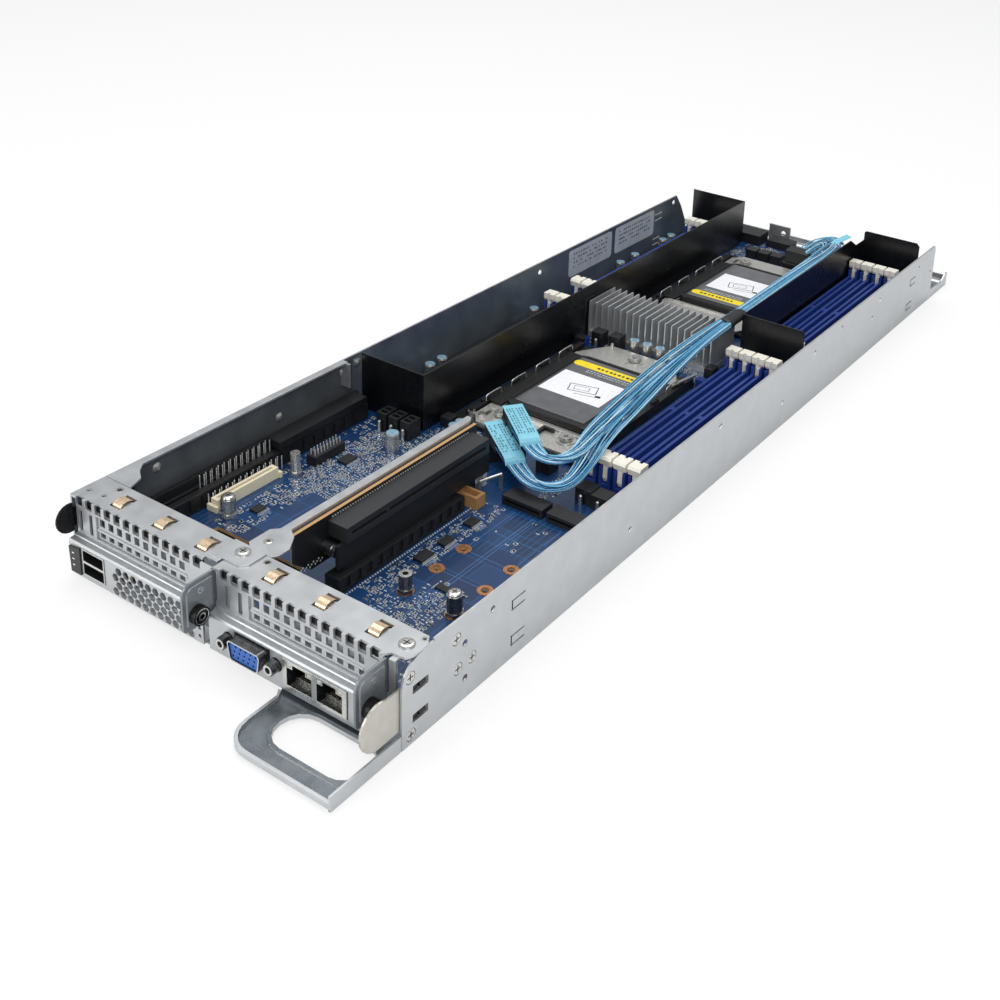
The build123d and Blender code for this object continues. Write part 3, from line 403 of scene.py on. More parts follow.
def blocks(name, boxes, material, body="sled"):
    """One mesh of many blocks, each x0, x1, y0, y1, z0, z1 in drawing mm."""
    verts, faces = [], []
    for x0, x1, y0, y1, z0, z1 in boxes:
        k = len(verts)
        verts += [at(x, y, z) for z in (z0, z1) for x, y in ((x0, y0), (x1, y0), (x1, y1), (x0, y1))]
        faces += [[k + i for i in side] for side in SIX_SIDES]
    return piece_from(name, verts, faces, material, body)


print("a block has", len(SIX_SIDES), "sides")

# %% [markdown]
# ## Turned pieces
# Screws, posts, cans and rings are round. A ready-made cylinder could be scaled for each, but an outline of
# heights and radii carried round an axis gives shoulders and domes too, and a whole row stays one mesh.

# %% Lathe, studs and rings
AXES = {"x": (1, 2, 0), "y": (2, 0, 1), "z": (0, 1, 2)}


def turned(name, pieces, material, sides=20, hollow=False, body="sled"):
    """One mesh of turned pieces, each a centre, an axis letter and its outline as height and radius pairs."""
    verts, faces = [], []
    for centre, axis, outline in pieces:
        a, b, c = AXES[axis]
        k, n = len(verts), len(outline)
        for height, radius in outline:
            for i in range(sides):
                spot = list(centre)
                spot[a] += radius * math.cos(2 * math.pi * i / sides)
                spot[b] += radius * math.sin(2 * math.pi * i / sides)
                spot[c] += height
                verts.append(at(*spot))
        for level in range(n if hollow else n - 1):
            low, high = k + level * sides, k + (level + 1) % n * sides
            faces += [[low + i, low + (i + 1) % sides, high + (i + 1) % sides, high + i]
                      for i in range(sides)]
        if not hollow:
            faces += [[k + i for i in reversed(range(sides))],
                      [k + (n - 1) * sides + i for i in range(sides)]]
    return piece_from(name, verts, faces, material, body)


def studs(name, places, material, sides=14, dome=0.0):
    """Upright studs, each x, y, z0, z1, radius; dome narrows the top."""
    pieces = []
    for x, y, z0, z1, r in places:
        outline = [(z0, r), (z1, r)]
        if dome:
            outline = [(z0, r), (z1 - dome * r, r), (z1, r * (1 - dome) + 0.0005)]
        pieces.append(((x, y, 0), "z", outline))
    return turned(name, pieces, material, sides)


def rings(name, places, material, sides=28):
    """Flat rings lying on the board, each x, y, z0, z1, inner radius, outer radius."""
    return turned(name, [((x, y, 0), "z", [(z0, r1), (z1, r1), (z1, r0), (z0, r0)])
                         for x, y, z0, z1, r0, r1 in places], material, sides, hollow=True)


print("axes to turn about", list(AXES))

# %% [markdown]
# ## Wires
# A wire could be a tube of many faces. Here it is a curve with a round section, so its route stays a short
# list of points that can be moved by hand, and the faces are made only for the picture.

# %% Wire builder
def wires(name, lines, radius, material, body="sled"):
    """One curve object of round wires, each a list of control points in drawing mm."""
    curve = bpy.data.curves.new(name, "CURVE")
    curve.dimensions, curve.bevel_depth, curve.bevel_resolution = "3D", radius / 1000, 2
    curve.use_fill_caps = True
    for line in lines:
        spline = curve.splines.new("NURBS")
        spline.points.add(len(line) - 1)
        for point, place in zip(spline.points, line):
            point.co = (*at(*place), 1.0)
        spline.order_u, spline.use_endpoint_u, spline.resolution_u = 3, True, 8
    curve.materials.append(material)
    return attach(put(name, curve), body)


print("builders", [builder.__name__ for builder in (piece_from, blocks, turned, studs, rings, wires)])

# %% [markdown]
# ## What already stands on the board
# New small parts must keep clear of the sockets, posts and plugs of the frame. Each node is split into its
# separate solids and the plan of each is kept as a rectangle.

# %% Plans of the solids that stand on the board
def islands(node):
    """Boxes of the separate solids of a node, in drawing mm."""
    work = bmesh.new()
    work.from_mesh(node.data)
    bmesh.ops.remove_doubles(work, verts=work.verts, dist=1e-6)
    left, found = set(work.verts), []
    while left:
        stack, group = [left.pop()], []
        while stack:
            v = stack.pop()
            group.append(v.co)
            for e in v.link_edges:
                o = e.other_vert(v)
                if o in left:
                    left.discard(o)
                    stack.append(o)
        xs, ys, zs = [[c[i] * 1000 for c in group] for i in range(3)]
        found.append((min(xs), max(xs), min(ys) + MIDDLE, max(ys) + MIDDLE, min(zs), max(zs)))
    work.free()
    return sorted(found)


SKIP = {
    "motherboard", "tray_base", "cable_front", "cable_back", "riser_bracket", "left_baffle",
    "right_baffle", "board_standoffs", "left_slot_frame", "right_slot_frame", "cable_strap"
}
taken = []
for name, node in nodes.items():
    if name not in SKIP:
        taken += [b[:4] for b in islands(node) if b[4] < 9.0 and b[3] > 3]
taken += [(-47.0, -45.2, 170, 516), (-88, -45, 171.4, 173.2), (42.0, 43.4, 340, 516), (42, 80, 340.6, 342),
          (-61, -10, 0, 52.6), (42, 80, 513, 514.6), (-88, -45, 513, 514.6), (-10.6, -0.6, 0, 22.4)]
COLUMNS = (34.0, 59.5)  # the copper rings and the posts stand in two columns
taken += [(x - 4, x + 4, y - 4, y + 4) for x in COLUMNS for y in (85.7, 103.7, 65.7)]
print("plans kept clear", len(taken))


def is_free(x0, x1, y0, y1, gap=0.25):
    """True where a rectangle and a gap round it meet nothing that is there already."""
    return not any(x0 - gap < b and x1 + gap > a and y0 - gap < d and y1 + gap > c for a, b, c, d in taken)


# %% [markdown]
# ## Chips
# The larger chips are black moulded packages with bright legs along two sides. Their places are read from
# the photograph. Each has a printed outline round it and a few printed lines beside it. A printed line is
# a block 0.03 mm high, thicker than real ink, so that it never sinks into the board's face.

# %% Chips with legs
BOARD = 6.0
INK = 0.03


def on_board(x0, x1, y0, y1, high=INK):
    """Block that stands on the board; without a height it is a printed line."""
    return (x0, x1, y0, y1, BOARD, BOARD + high)


CHIPS = [  # x, y, width, depth, height
    (24.6, 103, 4.4, 7.0, 1.3), (24.2, 121.5, 5.0, 6.4, 1.2), (30.6, 126, 5.6, 4.2, 1.1),
    (24.4, 88.5, 5.0, 8.4, 1.4), (46.6, 76.0, 9.0, 3.4, 1.0), (27.6, 30, 7, 7, 1.2), (56, 34, 5, 6, 1.1),
    (-57.4, 72, 5.0, 6.0, 1.1), (-33.0, 124, 9.0, 9.0, 1.4), (-22.0, 141, 5.4, 7.0, 1.2),
    (-56.0, 128, 6.0, 8.0, 1.3), (-12.0, 112, 5.0, 6.0, 1.1), (-8.5, 160, 6.0, 5.0, 1.2),
    (20.0, 509, 5.0, 5.0, 1.2), (-8.0, 510, 8.0, 6.0, 1.3), (-36.0, 508, 6.0, 5.0, 1.2),
    (60.0, 523, 9.0, 7.0, 1.4), (48.0, 521.5, 5.0, 4.0, 1.1), (2.0, 524.0, 7.0, 5.0, 1.2)
]
LEG_PITCH, LEG_REACH = 0.8, 0.8
packages, legs, printed = [], [], []
for x, y, w, d, h in CHIPS:
    left, right, near, far = x - w / 2, x + w / 2, y - d / 2, y + d / 2
    if not is_free(left - 1, right + 1, near, far):
        continue
    packages.append((left, right, near, far, BOARD + 0.1, BOARD + h))
    count = int(d / LEG_PITCH)
    for i in range(count):
        ly = near + (i + 0.5) * d / count
        legs += [on_board(left - LEG_REACH, left, ly - 0.16, ly + 0.16, 0.35),
                 on_board(right, right + LEG_REACH, ly - 0.16, ly + 0.16, 0.35)]
    taken.append((left - 1, right + 1, near - 0.5, far + 0.5))
    printed += [on_board(left - 1.2, left - 1.0, near - 0.7, far + 0.7),
                on_board(right + 1.0, right + 1.2, near - 0.7, far + 0.7),
                on_board(left - 1.2, right + 1.2, far + 0.5, far + 0.7)]
    for i in range(int(d / 0.9)):
        ly, reach = near + 0.4 + 0.9 * i, chance.uniform(1.2, 3.6)
        printed.append(on_board(right + 1.5, right + 1.5 + reach, ly, ly + 0.14))
soften(blocks("chip_packages", packages, black_moulding), 0.12)
print("chips", len(packages), "legs", len(legs))

# %% [markdown]
# ## Crowded fields of small parts
# Resistors and ceramic capacitors are 1 to 2 mm long with bright ends. They stand in fields that a loop
# fills from a seeded list of chances, so each run gives the same board. Printed ticks and outlines lie
# between them, and bright test pads fill what is left, which together give the busy silver-and-white look.
# Each field says how full it is and, where it is denser than usual, by how much its parts are drawn smaller.

# %% Fields to fill
FIELDS = [  # x0, x1, y0, y1, share of places filled, scale
    (-66, -6, 97, 159, 0.92, 0.74), (-66, -49, 53, 97, 0.8), (16.4, 33, 19, 62, 0.85, 0.8),
    (33, 84, 17, 48, 0.55), (18.4, 30, 62, 140, 0.8, 0.8), (37, 57, 71, 81, 0.55),
    (30, 56, 112, 141, 0.08), (64, 84, 50, 140, 0.02), (-45, 41, 153, 190, 0.8, 0.85),
    (-45, 41, 304, 319, 0.8), (-45, 41, 347, 367, 0.7), (-45, 41, 483, 516, 0.7), (37, 44, 190, 340, 0.6),
    (-80, 82, 515, 530, 0.5), (-79, -76, 200, 330, 0.3), (79.5, 85, 180, 330, 0.35),
    (-86, -77.5, 180, 236, 0.6), (-86, -78, 310, 340, 0.6), (-86, -78, 345, 510, 0.6),
    (64, 86, 141, 178, 0.6), (-76, -67, 98, 168, 0.6), (-84, -62, 8, 50, 0.5), (33, 57, 47, 71, 0.85, 0.8)
]
dark_bodies, tan_bodies, bright_ends, ticks, pads, holes = [], [], [], [], [], []


def lay(x, y, u0, u1, v, along, high):
    """Block on the board from u0 to u1 along a part, and v to each side of it."""
    if along:
        return on_board(x + u0, x + u1, y - v, y + v, high)
    return on_board(x - v, x + v, y + u0, y + u1, high)


print("fields", len(FIELDS))

# %% Resistors, capacitors, ticks and pads
for x0, x1, y0, y1, share, *scale in FIELDS:
    k = scale[0] if scale else 1.0
    rows, cols = int((y1 - y0) / (2.3 * k)), max(1, int((x1 - x0) / (2.6 * k)))
    for r in range(rows):
        for c in range(cols):
            x = x0 + (c + 0.5) * (x1 - x0) / cols + chance.uniform(-0.4, 0.4)
            y = y0 + (r + 0.5) * (y1 - y0) / rows + chance.uniform(-0.3, 0.3)
            room = (x - 1.2 * k, x + 1.2 * k, y - k, y + k)
            if chance.random() > share or not is_free(*room, 0.1):
                continue
            kind = chance.random()
            half, wide = (0.8 * k, 0.42 * k) if chance.random() < 0.6 else (0.55 * k, 0.3 * k)
            along = chance.random() < 0.5
            if kind < 0.55:
                bodies, high = (dark_bodies, 0.45) if kind < 0.4 else (tan_bodies, 0.8)
                cut = 0.7 * half
                bodies.append(lay(x, y, -cut, cut, wide, along, high))
                bright_ends += [lay(x, y, -half, -cut, wide, along, high + 0.02),
                                lay(x, y, cut, half, wide, along, high + 0.02)]
                if chance.random() < 0.7:
                    ticks.append(on_board(x - 1.1 * k, x + 1.1 * k, y + 0.85 * k, y + k) if along else
                                 on_board(x + 0.95 * k, x + 1.1 * k, y - k, y + k))
                if chance.random() < 0.7:
                    a, b = (half, wide) if along else (wide, half)
                    e, g, line = a + 0.3 * k, b + 0.3 * k, 0.2 * k
                    ticks += [on_board(x - e, x + e, y - g - line, y - g),
                              on_board(x - e, x + e, y + g, y + g + line),
                              on_board(x - e - line, x - e, y - g, y + g),
                              on_board(x + e, x + e + line, y - g, y + g)]
            elif kind < 0.82:
                for i in range(3):
                    tx = x + k * (0.65 * i - 0.9)
                    ticks.append(on_board(tx, tx + 0.42 * k, y - 0.35 * k, y + k * chance.uniform(0.0, 0.45)))
            elif kind < 0.95:
                pads.append((x, y, BOARD, BOARD + 0.05, 0.45))
            else:
                holes.append((x, y, BOARD, BOARD + 0.04, 0.3, 0.62))
blocks("resistors", dark_bodies, black_moulding)
blocks("ceramic_capacitors", tan_bodies, ceramic_tan)
blocks("solder_ends", bright_ends + legs, solder)
blocks("printed_ticks", ticks + printed, silk_ink)
studs("test_pads", pads, solder, 8)
rings("plated_holes", holes, solder, 10)

# %% [markdown]
# ## Tracks, pad rows and copper rings
# In the bay behind the ports the board is plain, so its long printed lines show: a double line running to
# the rear between the ring columns, and short lines across from ring to ring. The riser's socket has a row
# of soldered legs beside it, and the riser's slot has one under the tan edge of its board.

# %% Printed lines, rings and rows of solder
lines = [on_board(x, x + 0.3, 48, 141) for x in (43.6, 45.4)]
lines += [on_board(36, 84, y, y + 0.25) for y in (65.7, 85.6, 103.6, 122.0)]
lines += [on_board(x, x + 0.25, 106, 141) for x in (34.0, 59.4)]
lines += [on_board(47.6, 71.4, 152.6, 153.0), on_board(24.6, 47.2, 152.6, 153.0)]
lines += [on_board(x, x + 0.2, 54 + 5 * (i % 2), 92) for i, x in enumerate((-41, -33, -24, -12))]
for y in (248.0, 426.0):
    lines += [on_board(x, x + 0.3, y - 56, y + 50) for x in (-39.4, 37.0)]
blocks("printed_lines", lines, track_blue)
rings("copper_rings", [(x, y, BOARD, BOARD + 0.25, 1.75, 3.5) for x in COLUMNS for y in (85.7, 103.7)]
      + [(x, 65.7, BOARD, BOARD + 0.3, r, r + 1.2) for x, r in zip(COLUMNS, (2.5, 2.9))], copper_ring)
studs("socket_legs", [(16.7, 42.0 + 1.55 * i, BOARD, BOARD + 0.5, 0.42) for i in range(63)], solder, 8, 0.4)
blocks("slot_legs", [(2.8, 3.3, 56.4 + 1.5 * i, 56.9 + 1.5 * i, 33.4, 33.95) for i in range(60)], solder)
edge_pads = [(37.0 + 1.0 * i, 16.2 + (i % 3) * 0.8) for i in range(14)]
blocks("riser_edge_pads", [(2.75, 2.9, y, y + 0.55, z, z + 0.7) for y, z in edge_pads], silk_ink)
print("lines", len(lines))

# %% [markdown]
# ## Cans
# The solid model keeps round pieces plain. Here each capacitor is a rolled aluminium can: a sleeve, a
# crimped shoulder and a paler top with a scored cross, which lets it burst safely. Each is turned from an
# outline of heights and radii, as on a lathe. One can lies on its side behind the left port.

# %% Cans
cans = [b for b in islands(nodes["capacitors"]) if not (b[2] < 60 and b[0] > 0)]
sleeves, tops, scores = [], [], []
for x0, x1, y0, y1, z0, z1 in cans:
    x, y, r = (x0 + x1) / 2, (y0 + y1) / 2, (x1 - x0) / 2
    arm = r * 0.6
    sleeves.append(((x, y, 0), "z", [(z0, r), (z1 - 0.9, r), (z1 - 0.7, r * 0.93), (z1 - 0.5, r),
                                     (z1 - 0.2, r), (z1, r * 0.93)]))
    tops.append(((x, y, 0), "z", [(z1 - 0.1, r * 0.9), (z1 + 0.02, r * 0.86)]))
    scores += [(x - a, x + a, y - b, y + b, z1, z1 + 0.04) for a, b in ((arm, 0.08), (0.08, arm))]
for item in (turned("can_sleeves", sleeves, nickel, 28), turned("can_tops", tops, can_top, 28),
             blocks("can_scores", scores, nickel)):
    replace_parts(item, "capacitors")
# Painted shade: the riser's can gets the shaded tin.
turned("riser_can", [((2.9, 51.8, 22.3), "x", [(0, 2.9), (5.2, 2.9), (5.6, 2.6), (6.0, 2.9), (6.9, 2.9),
                                               (7.2, 2.5)])], tin_painted_shade, 28)
print("cans", len(cans))

# %% [markdown]
# ## Screws
# A pan head is pressed from wire: it has a low rounded rim and a cross for the driver. The turned heads
# take the place of the plain solid ones. Two dark blocks that barely stand out make the cross as painted
# shade, which is much lighter than a cut recess and looks the same from here. Bright rings on the black
# thumbscrews are painted highlights.

# %% Screw heads and thumbscrew rings
FLAT_SCREWS = [  # x, y, seat, radius, height of the head
    (-1.9, 12.8, 37.8, 3.1, 0.87), (83.2, 9.3, 37.0, 3.1, 0.9), (-0.5, 24.6, 37.0, 1.95, 0.4),
    (59.5, 65.7, 15.6, 2.9, 1.5), (-64.0, 61.0, 15.0, 3.1, 1.5)]
WALL_SCREWS = [(4.5, 28.5), (4.9, 4.0), (39.3, 15.8), (30.1, 29.0), (31.0, 15.6)]
heads, recess_shades = [], []
for x, y, z, r, h in FLAT_SCREWS:
    heads.append(((x, y, z), "z", [(-2.4, 1.2), (0, 1.2), (0.01, r), (h * 0.5, r), (h * 0.85, r * 0.86),
                                   (h, r * 0.6)]))
    recess_shades += [(x - a, x + a, y - b, y + b, z + h - 0.1, z + h + 0.03)
                 for a, b in ((r * 0.5, 0.25), (0.25, r * 0.5))]
for y, z in WALL_SCREWS:
    heads.append(((88.15, y, z), "x", [(-2.4, 1.3), (0, 1.3), (0.01, 2.45), (0.55, 2.45), (0.75, 2.2)]))
    recess_shades += [(88.85, 88.94, y - a, y + a, z - b, z + b) for a, b in ((1.5, 0.25), (0.25, 1.5))]
# The dark crosses are painted shade in the screws' recesses.
for item in (turned("screw_heads", heads, nickel, 26), blocks("screw_recess_shades", recess_shades, black_moulding)):
    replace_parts(item, "machine_screws")
turned("left_wall_screws", [((-88.05, y, z), "x", [(0, 2.3), (0.7, 2.3), (1.1, 1.7), (1.5, 0.9)])
                            for y, z in ((42.7, 30), (159, 30.8), (115.3, 24), (170.1, 32.1))], nickel, 20)
# Painted highlight: bright rings on the black thumbscrew heads.
for side, x in (("left", -1.1), ("right", 85.0)):
    outlines = [[(0, r + 0.35), (0.06, r + 0.35), (0.06, r), (0, r)] for r in (1.2, 2.9)]
    turned(f"{side}_screw_painted_highlights", [((x, -9.0, 21.6), "x", outline) for outline in outlines], nickel, 26,
           hollow=True, body=f"{side}_thumbscrew_body")
turned("retainer_eyelets", [((x, -6.4, 30.6), "x", [(0, 1.5), (0.12, 1.5), (0.12, 0.95), (0, 0.95)])
                            for x in (-4.25, 81.85)], nickel, 20, hollow=True)
print("screws", len(heads))

# %% [markdown]
# ## The tan connector
# An open box with a floor: four walls and a low block, as a moulded header has them. It stands where the
# photograph shows it, a little left of its plain solid.

# %% Tan connector
WALL_TOP, FLOOR_TOP = 12.0, 9.0
tan_boxes = [(6.4, 19.6, 131.0, 132.4, BOARD, WALL_TOP), (6.4, 19.6, 136.2, 137.6, BOARD, WALL_TOP),
             (6.4, 8.0, 132.4, 136.2, BOARD, WALL_TOP), (18.0, 19.6, 132.4, 136.2, BOARD, WALL_TOP),
             (8.0, 18.0, 132.4, 136.2, BOARD, FLOOR_TOP)]
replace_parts(blocks("tan_connector", tan_boxes, tan_polymer), "brown_connector")
print("connector blocks", len(tan_boxes))

# %% [markdown]
# ## Painted shade and thin sheets
# A black sheet under the top flange is painted shade, so its notches and finger slots look black. A plain
# return of the sheet closes the gap between the right retainer and the wall; it ends short of the lever,
# which bends inward there. A slate bracket covers the front of the left wall. Black sheets on the board
# beside the sockets, in the wall's hook slots and at the ends of its lances are painted shade too.

# %% Painted shade, bracket and pins
# Painted shade: black sheets under the top flange and behind its front edge.
blocks("flange_painted_shade", [(-84, -21, 2.4, 16.9, 35.3, 35.8), (2, 80, 2.4, 16.9, 35.3, 35.8),
                       (-84, -12, 1.8, 2.4, 33.0, 35.8), (-2, 80, 1.8, 2.4, 33.0, 35.8)], black_moulding)
blocks("right_return", [(82.1, 85.2, 1.6, 2.2, 6.2, 35.6)], zinc_sheet)
# Painted shade: thin black pads on the lever where the wall's hook slots show it.
blocks("hook_painted_shade", [(87.82, 87.9, 5.9, 9.5, z - 1.6, z + 1.6) for z in (22.4, 10.2)], black_moulding,
       "release_lever_body")
PIN_TURN = 0.9  # every second pin of a row stands this much further right
studs("left_riser_pins", [(-75.6 + PIN_TURN * (i % 2), 60.0 + 1.9 * i, BOARD, 13.0, 0.28) for i in range(24)],
      solder, 6, 0.4)
studs("left_socket_pins", [(-82.0 + PIN_TURN * (i % 2), 61.0 + 1.8 * i, 9.0, 19.6, 0.26) for i in range(24)],
      solder, 6, 0.4)
blocks("left_pin_header", [(-69.0, -63.0, 114.0, 134.0, BOARD, 11.0)], black_moulding)
studs("left_header_pins", [(-67.4 + 2.6 * j, 115.6 + 2.1 * i, 11.0, 14.0, 0.3)
                           for i in range(9) for j in (0, 1)], solder, 6, 0.4)
blocks("riser_clip", [(3.6, 9.4, 149.2, 151.8, BOARD, 17.0), (3.6, 9.4, 147.0, 149.2, 15.0, 17.0)],
       grey_label)
blocks("legend_marks", [(-83.2, -82.0, -5.36, -5.29, z, z + 0.5) for z in (8.4, 11.2, 14.0)], label_paper)
blocks("inner_bracket", [(-87.99, -87.6, 31.4, 166.0, 7.0, 35.8)], slate_lacquer)
eyes = ((-85.0, 6.4, 0.85), (-76.6, 7.2, 0.85), (-75.5, 14.2, 1.25), (9.4, 14.6, 1.25), (86.4, 15.2, 0.85))
rings("pressed_eyes", [(x, y, 37.0, 37.12, r, r + 0.5) for x, y, r in eyes], nickel, 24)
# Painted shade: black sheets on the board beside the sockets, between the rails and the baffles.
blocks("board_painted_shade", [on_board(-45.1, -38.2, y, y + 113.0, 0.25) for y in (190.0, 369.0)],
       black_moulding)
lances = ((68, 24.3), (68, 8.1), (482, 23.8), (480, 7.9))
# Painted shade: dark strips on the wall's outer face at the cut ends of its lances.
blocks("lance_slit_shade", [(88.9, 89.0, y - 4.5, y - 3.8, z - 2.35, z + 2.35) for y, z in lances], black_moulding)
wires("latch_rod", [[(12.6, 142.0, 13.2), (15.0, 146.5, 13.8), (17.6, 152.2, 14.2)]], 0.8, nickel)
blocks("latch_rod_feet", [(11.8, 13.4, 141.2, 142.8, BOARD, 13.0), (16.9, 18.3, 151.2, 152.6, BOARD, 14.0)],
       nickel)
soften(blocks("latch_block", [(3.4, 7.6, 139.4, 145.6, BOARD, 15.6)], black_moulding), 0.3)
turned("post_tips", [((x, -8.82, 13.0), "y", [(-0.1, 2.15), (0, 2.15), (0, 1.3), (-0.1, 1.3)])
                     for x in (7.5, 32.5)], nickel, 24, hollow=True)
print("liners and pins ready")

# %% [markdown]
# ## Leads
# Each of the two leads is a bundle of thin sleeved strands that leave a flat plug side by side, bend round
# together and lie loosely over the memory sockets. A bundle could be one ribbed tube, but the strands cross
# and part, so each is its own wire. The real bundle holds more strands; 17 per lead, drawn 0.8 mm thick,
# fill the same width and stay apart at this size. A strand follows the same route points as the solid lead,
# moved sideways and up by an amount that turns slowly along the way.

# %% Routes of the two leads
LEAD_A = [
    (8.3, 166.8, 19.0), (27.3, 154.1, 16.4), (39.0, 153.2, 14.6), (48.6, 160.2, 15.4), (50.2, 172.0, 22.2),
    (48.6, 187.5, 29.5), (47.0, 214.0, 32.0), (42.5, 257.0, 33.0), (39.8, 303.0, 33.2),
    (39.4, 343.0, 33.2), (38.4, 390.0, 33.0), (37.9, 438.0, 33.0), (37.2, 476.0, 32.0),
    (34.0, 497.0, 30.5), (21.0, 507.0, 27.5), (8.0, 503.0, 21.0), (4.0, 494.0, 13.0)
]
LEAD_B = [
    (11.9, 174.8, 26.1), (27.7, 162.6, 24.9), (38.5, 163.2, 23.6), (45.4, 171.6, 25.2),
    (44.8, 185.0, 30.0), (42.6, 213.0, 32.3), (38.1, 256.0, 33.0), (35.4, 303.0, 33.2),
    (35.0, 343.0, 33.2), (34.0, 390.0, 33.0), (33.5, 438.0, 33.0), (33.0, 472.0, 32.0),
    (30.0, 489.0, 30.5), (20.5, 497.5, 26.5), (11.0, 493.0, 18.5)
]
# Half the width of the loose bundle at a route point, in mm.
LOOSE = {3: 3.4, 4: 4.6, 5: 5.4, 6: 5.6, 7: 4.4, 8: 1.7, 9: 1.5, 10: 2.0}
PLUG_HALF = 4.9
REST_HALF = 2.9
STRANDS, STRAND_RADIUS = 17, 0.4
print("route points", len(LEAD_A), len(LEAD_B))

# %% Strands along the routes
def strand_lines(route, count, turn):
    """Control lines of the strands of one lead: a flat row at the plug, then a bundle that turns."""
    out = []
    last = len(route) - 1
    for n in range(count):
        u = 2 * (n + 0.5) / count - 1
        line = []
        for k, p in enumerate(route):
            a, b = Vector(route[max(0, k - 1)]), Vector(route[min(last, k + 1)])
            along = (b - a).normalized()
            side = along.cross(Vector((0, 0, 1))).normalized()
            up = side.cross(along)
            flat = 1.0 if k <= 1 else 0.55 if k == 2 else 0.0
            angle = math.pi * n / count * 2 + turn * k
            wide = PLUG_HALF * flat + (1 - flat) * LOOSE.get(k, REST_HALF)
            s = u * wide if flat == 1.0 else flat * u * wide + (1 - flat) * wide * math.cos(angle)
            tall = 2.2 if k in (2, 3) else 1.2 if k > 10 else 1.6
            h = (1 - flat) * tall * math.sin(angle) + flat * 0.45 * (-1) ** n
            stray = Vector((0, 0, 0))
            if last - 4 < k < last:
                stray = Vector([chance.uniform(-2.2, 2.2) for _ in range(3)])
            line.append(tuple(Vector(p) + side * s + up * h + stray))
        out.append(line)
    return out


# The deep tone is painted shade and the pale one painted highlight, each on every third strand.
TONES = (("blue", strand_blue), ("deep", strand_painted_shade), ("pale", strand_painted_highlight))
for name, route, turn in (("front", LEAD_A, 0.22), ("back", LEAD_B, -0.19)):
    lines = strand_lines(route, STRANDS, turn)
    for k, (tone, material) in enumerate(TONES):
        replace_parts(wires(f"strands_{name}_{tone}", lines[k::3], STRAND_RADIUS, material), f"cable_{name}")
    print(name, "strands", len(lines))

# %% [markdown]
# ## Plugs and tags
# Each lead starts in a low black plug, with a blue tag folded over the strands and rows of small ticks on
# the tag. A plug could be a block turned by hand, but the plugs lean, so their blocks are laid out along
# the lead's own three directions and stay in line with it.

# %% Turned blocks and bent ribbons
def oriented(route):
    """Start, direction, side and up of the first stretch of a route."""
    start, after = Vector(route[0]), Vector(route[1])
    along = (after - start).normalized()
    side = Vector((0, 0, 1)).cross(along).normalized()
    return start, along, side, along.cross(side)


def slab(name, origin, axes, spans, material, body="sled"):
    """Blocks in a turned frame; spans are u0, u1, v0, v1, w0, w1 along its three axes."""
    verts, faces = [], []
    for u0, u1, v0, v1, w0, w1 in spans:
        k = len(verts)
        for w in (w0, w1):
            for u, v in ((u0, v0), (u1, v0), (u1, v1), (u0, v1)):
                verts.append(at(*(origin + axes[0] * u + axes[1] * v + axes[2] * w)))
        faces += [[k + i for i in side] for side in SIX_SIDES]
    return piece_from(name, verts, faces, material, body)


RIBBON = 0.3


def ribbon(name, origin, axes, half, bend, material, body="sled"):
    """Thin band bent along its first axis: bend is a list of u and w, and half is half its width."""
    along, side, up = axes
    verts = [at(*(origin + along * u + side * v + up * (w + t)))
             for u, w in bend for v in (-half, half) for t in (0, RIBBON)]
    faces = [(0, 1, 3, 2), tuple(len(verts) - 4 + i for i in (2, 3, 1, 0))]
    for i in range(0, len(verts) - 4, 4):
        faces += [(i + a, i + a + 4, i + b + 4, i + b) for a, b in ((0, 1), (1, 3), (3, 2), (2, 0))]
    return piece_from(name, verts, faces, material, body)


print("ribbon thickness", RIBBON, "mm")

# %% Plugs and tags of the two leads
TAG_BEND = [(-17.4, 2.2), (-17.0, 2.9), (-16.0, 3.2), (11.0, 3.2), (13.2, 2.7), (14.6, 1.6), (15.2, 0.4)]
TICK_ROWS = (-4.0, -2.7, -1.4, 0.7, 2.0, 3.3)
UP = Vector((0, 0, 1))
plug_pieces = []
for name, route, foot in (("front", LEAD_A, 20.0), ("back", LEAD_B, 26.0)):
    origin, along, side, up = oriented(route)
    axes = (along, side, up)
    body = slab(f"plug_{name}", origin, axes, [(-16.5, 0.8, -4.8, 4.8, -3, 3)], black_moulding)
    tag = ribbon(f"tag_{name}", origin, axes, 5.0, TAG_BEND, tag_blue)
    rows = [(u, u + 1.2 + chance.uniform(-0.3, 0.4), v, v + 0.62, 3.52, 3.56)
            for u in [-13.2 + 2.1 * i for i in range(11)] for v in TICK_ROWS if chance.random() < 0.8]
    marks = slab(f"tag_marks_{name}", origin, axes, rows, teal_ink)
    spot = origin - along * 12
    flat = Vector((along.x, along.y, 0)).normalized()
    leg = slab(f"plug_leg_{name}", Vector((spot.x, spot.y, 0)), (flat, UP.cross(flat), UP),
               [(-3.5, 3.5, -5.5, 5.5, BOARD, foot)], black_moulding)
    soften(body, 0.5)
    soften(leg, 0.3)
    plug_pieces += [body, tag, leg, marks]
print("plug pieces", len(plug_pieces))

# %% [markdown]
# ## Strap and the leads' far ends
# A black sleeve with swollen ends holds both leads together over the fins; it is an oval drawn at five
# places along the leads. The rear plug is a black hood with a small loose tag behind it.

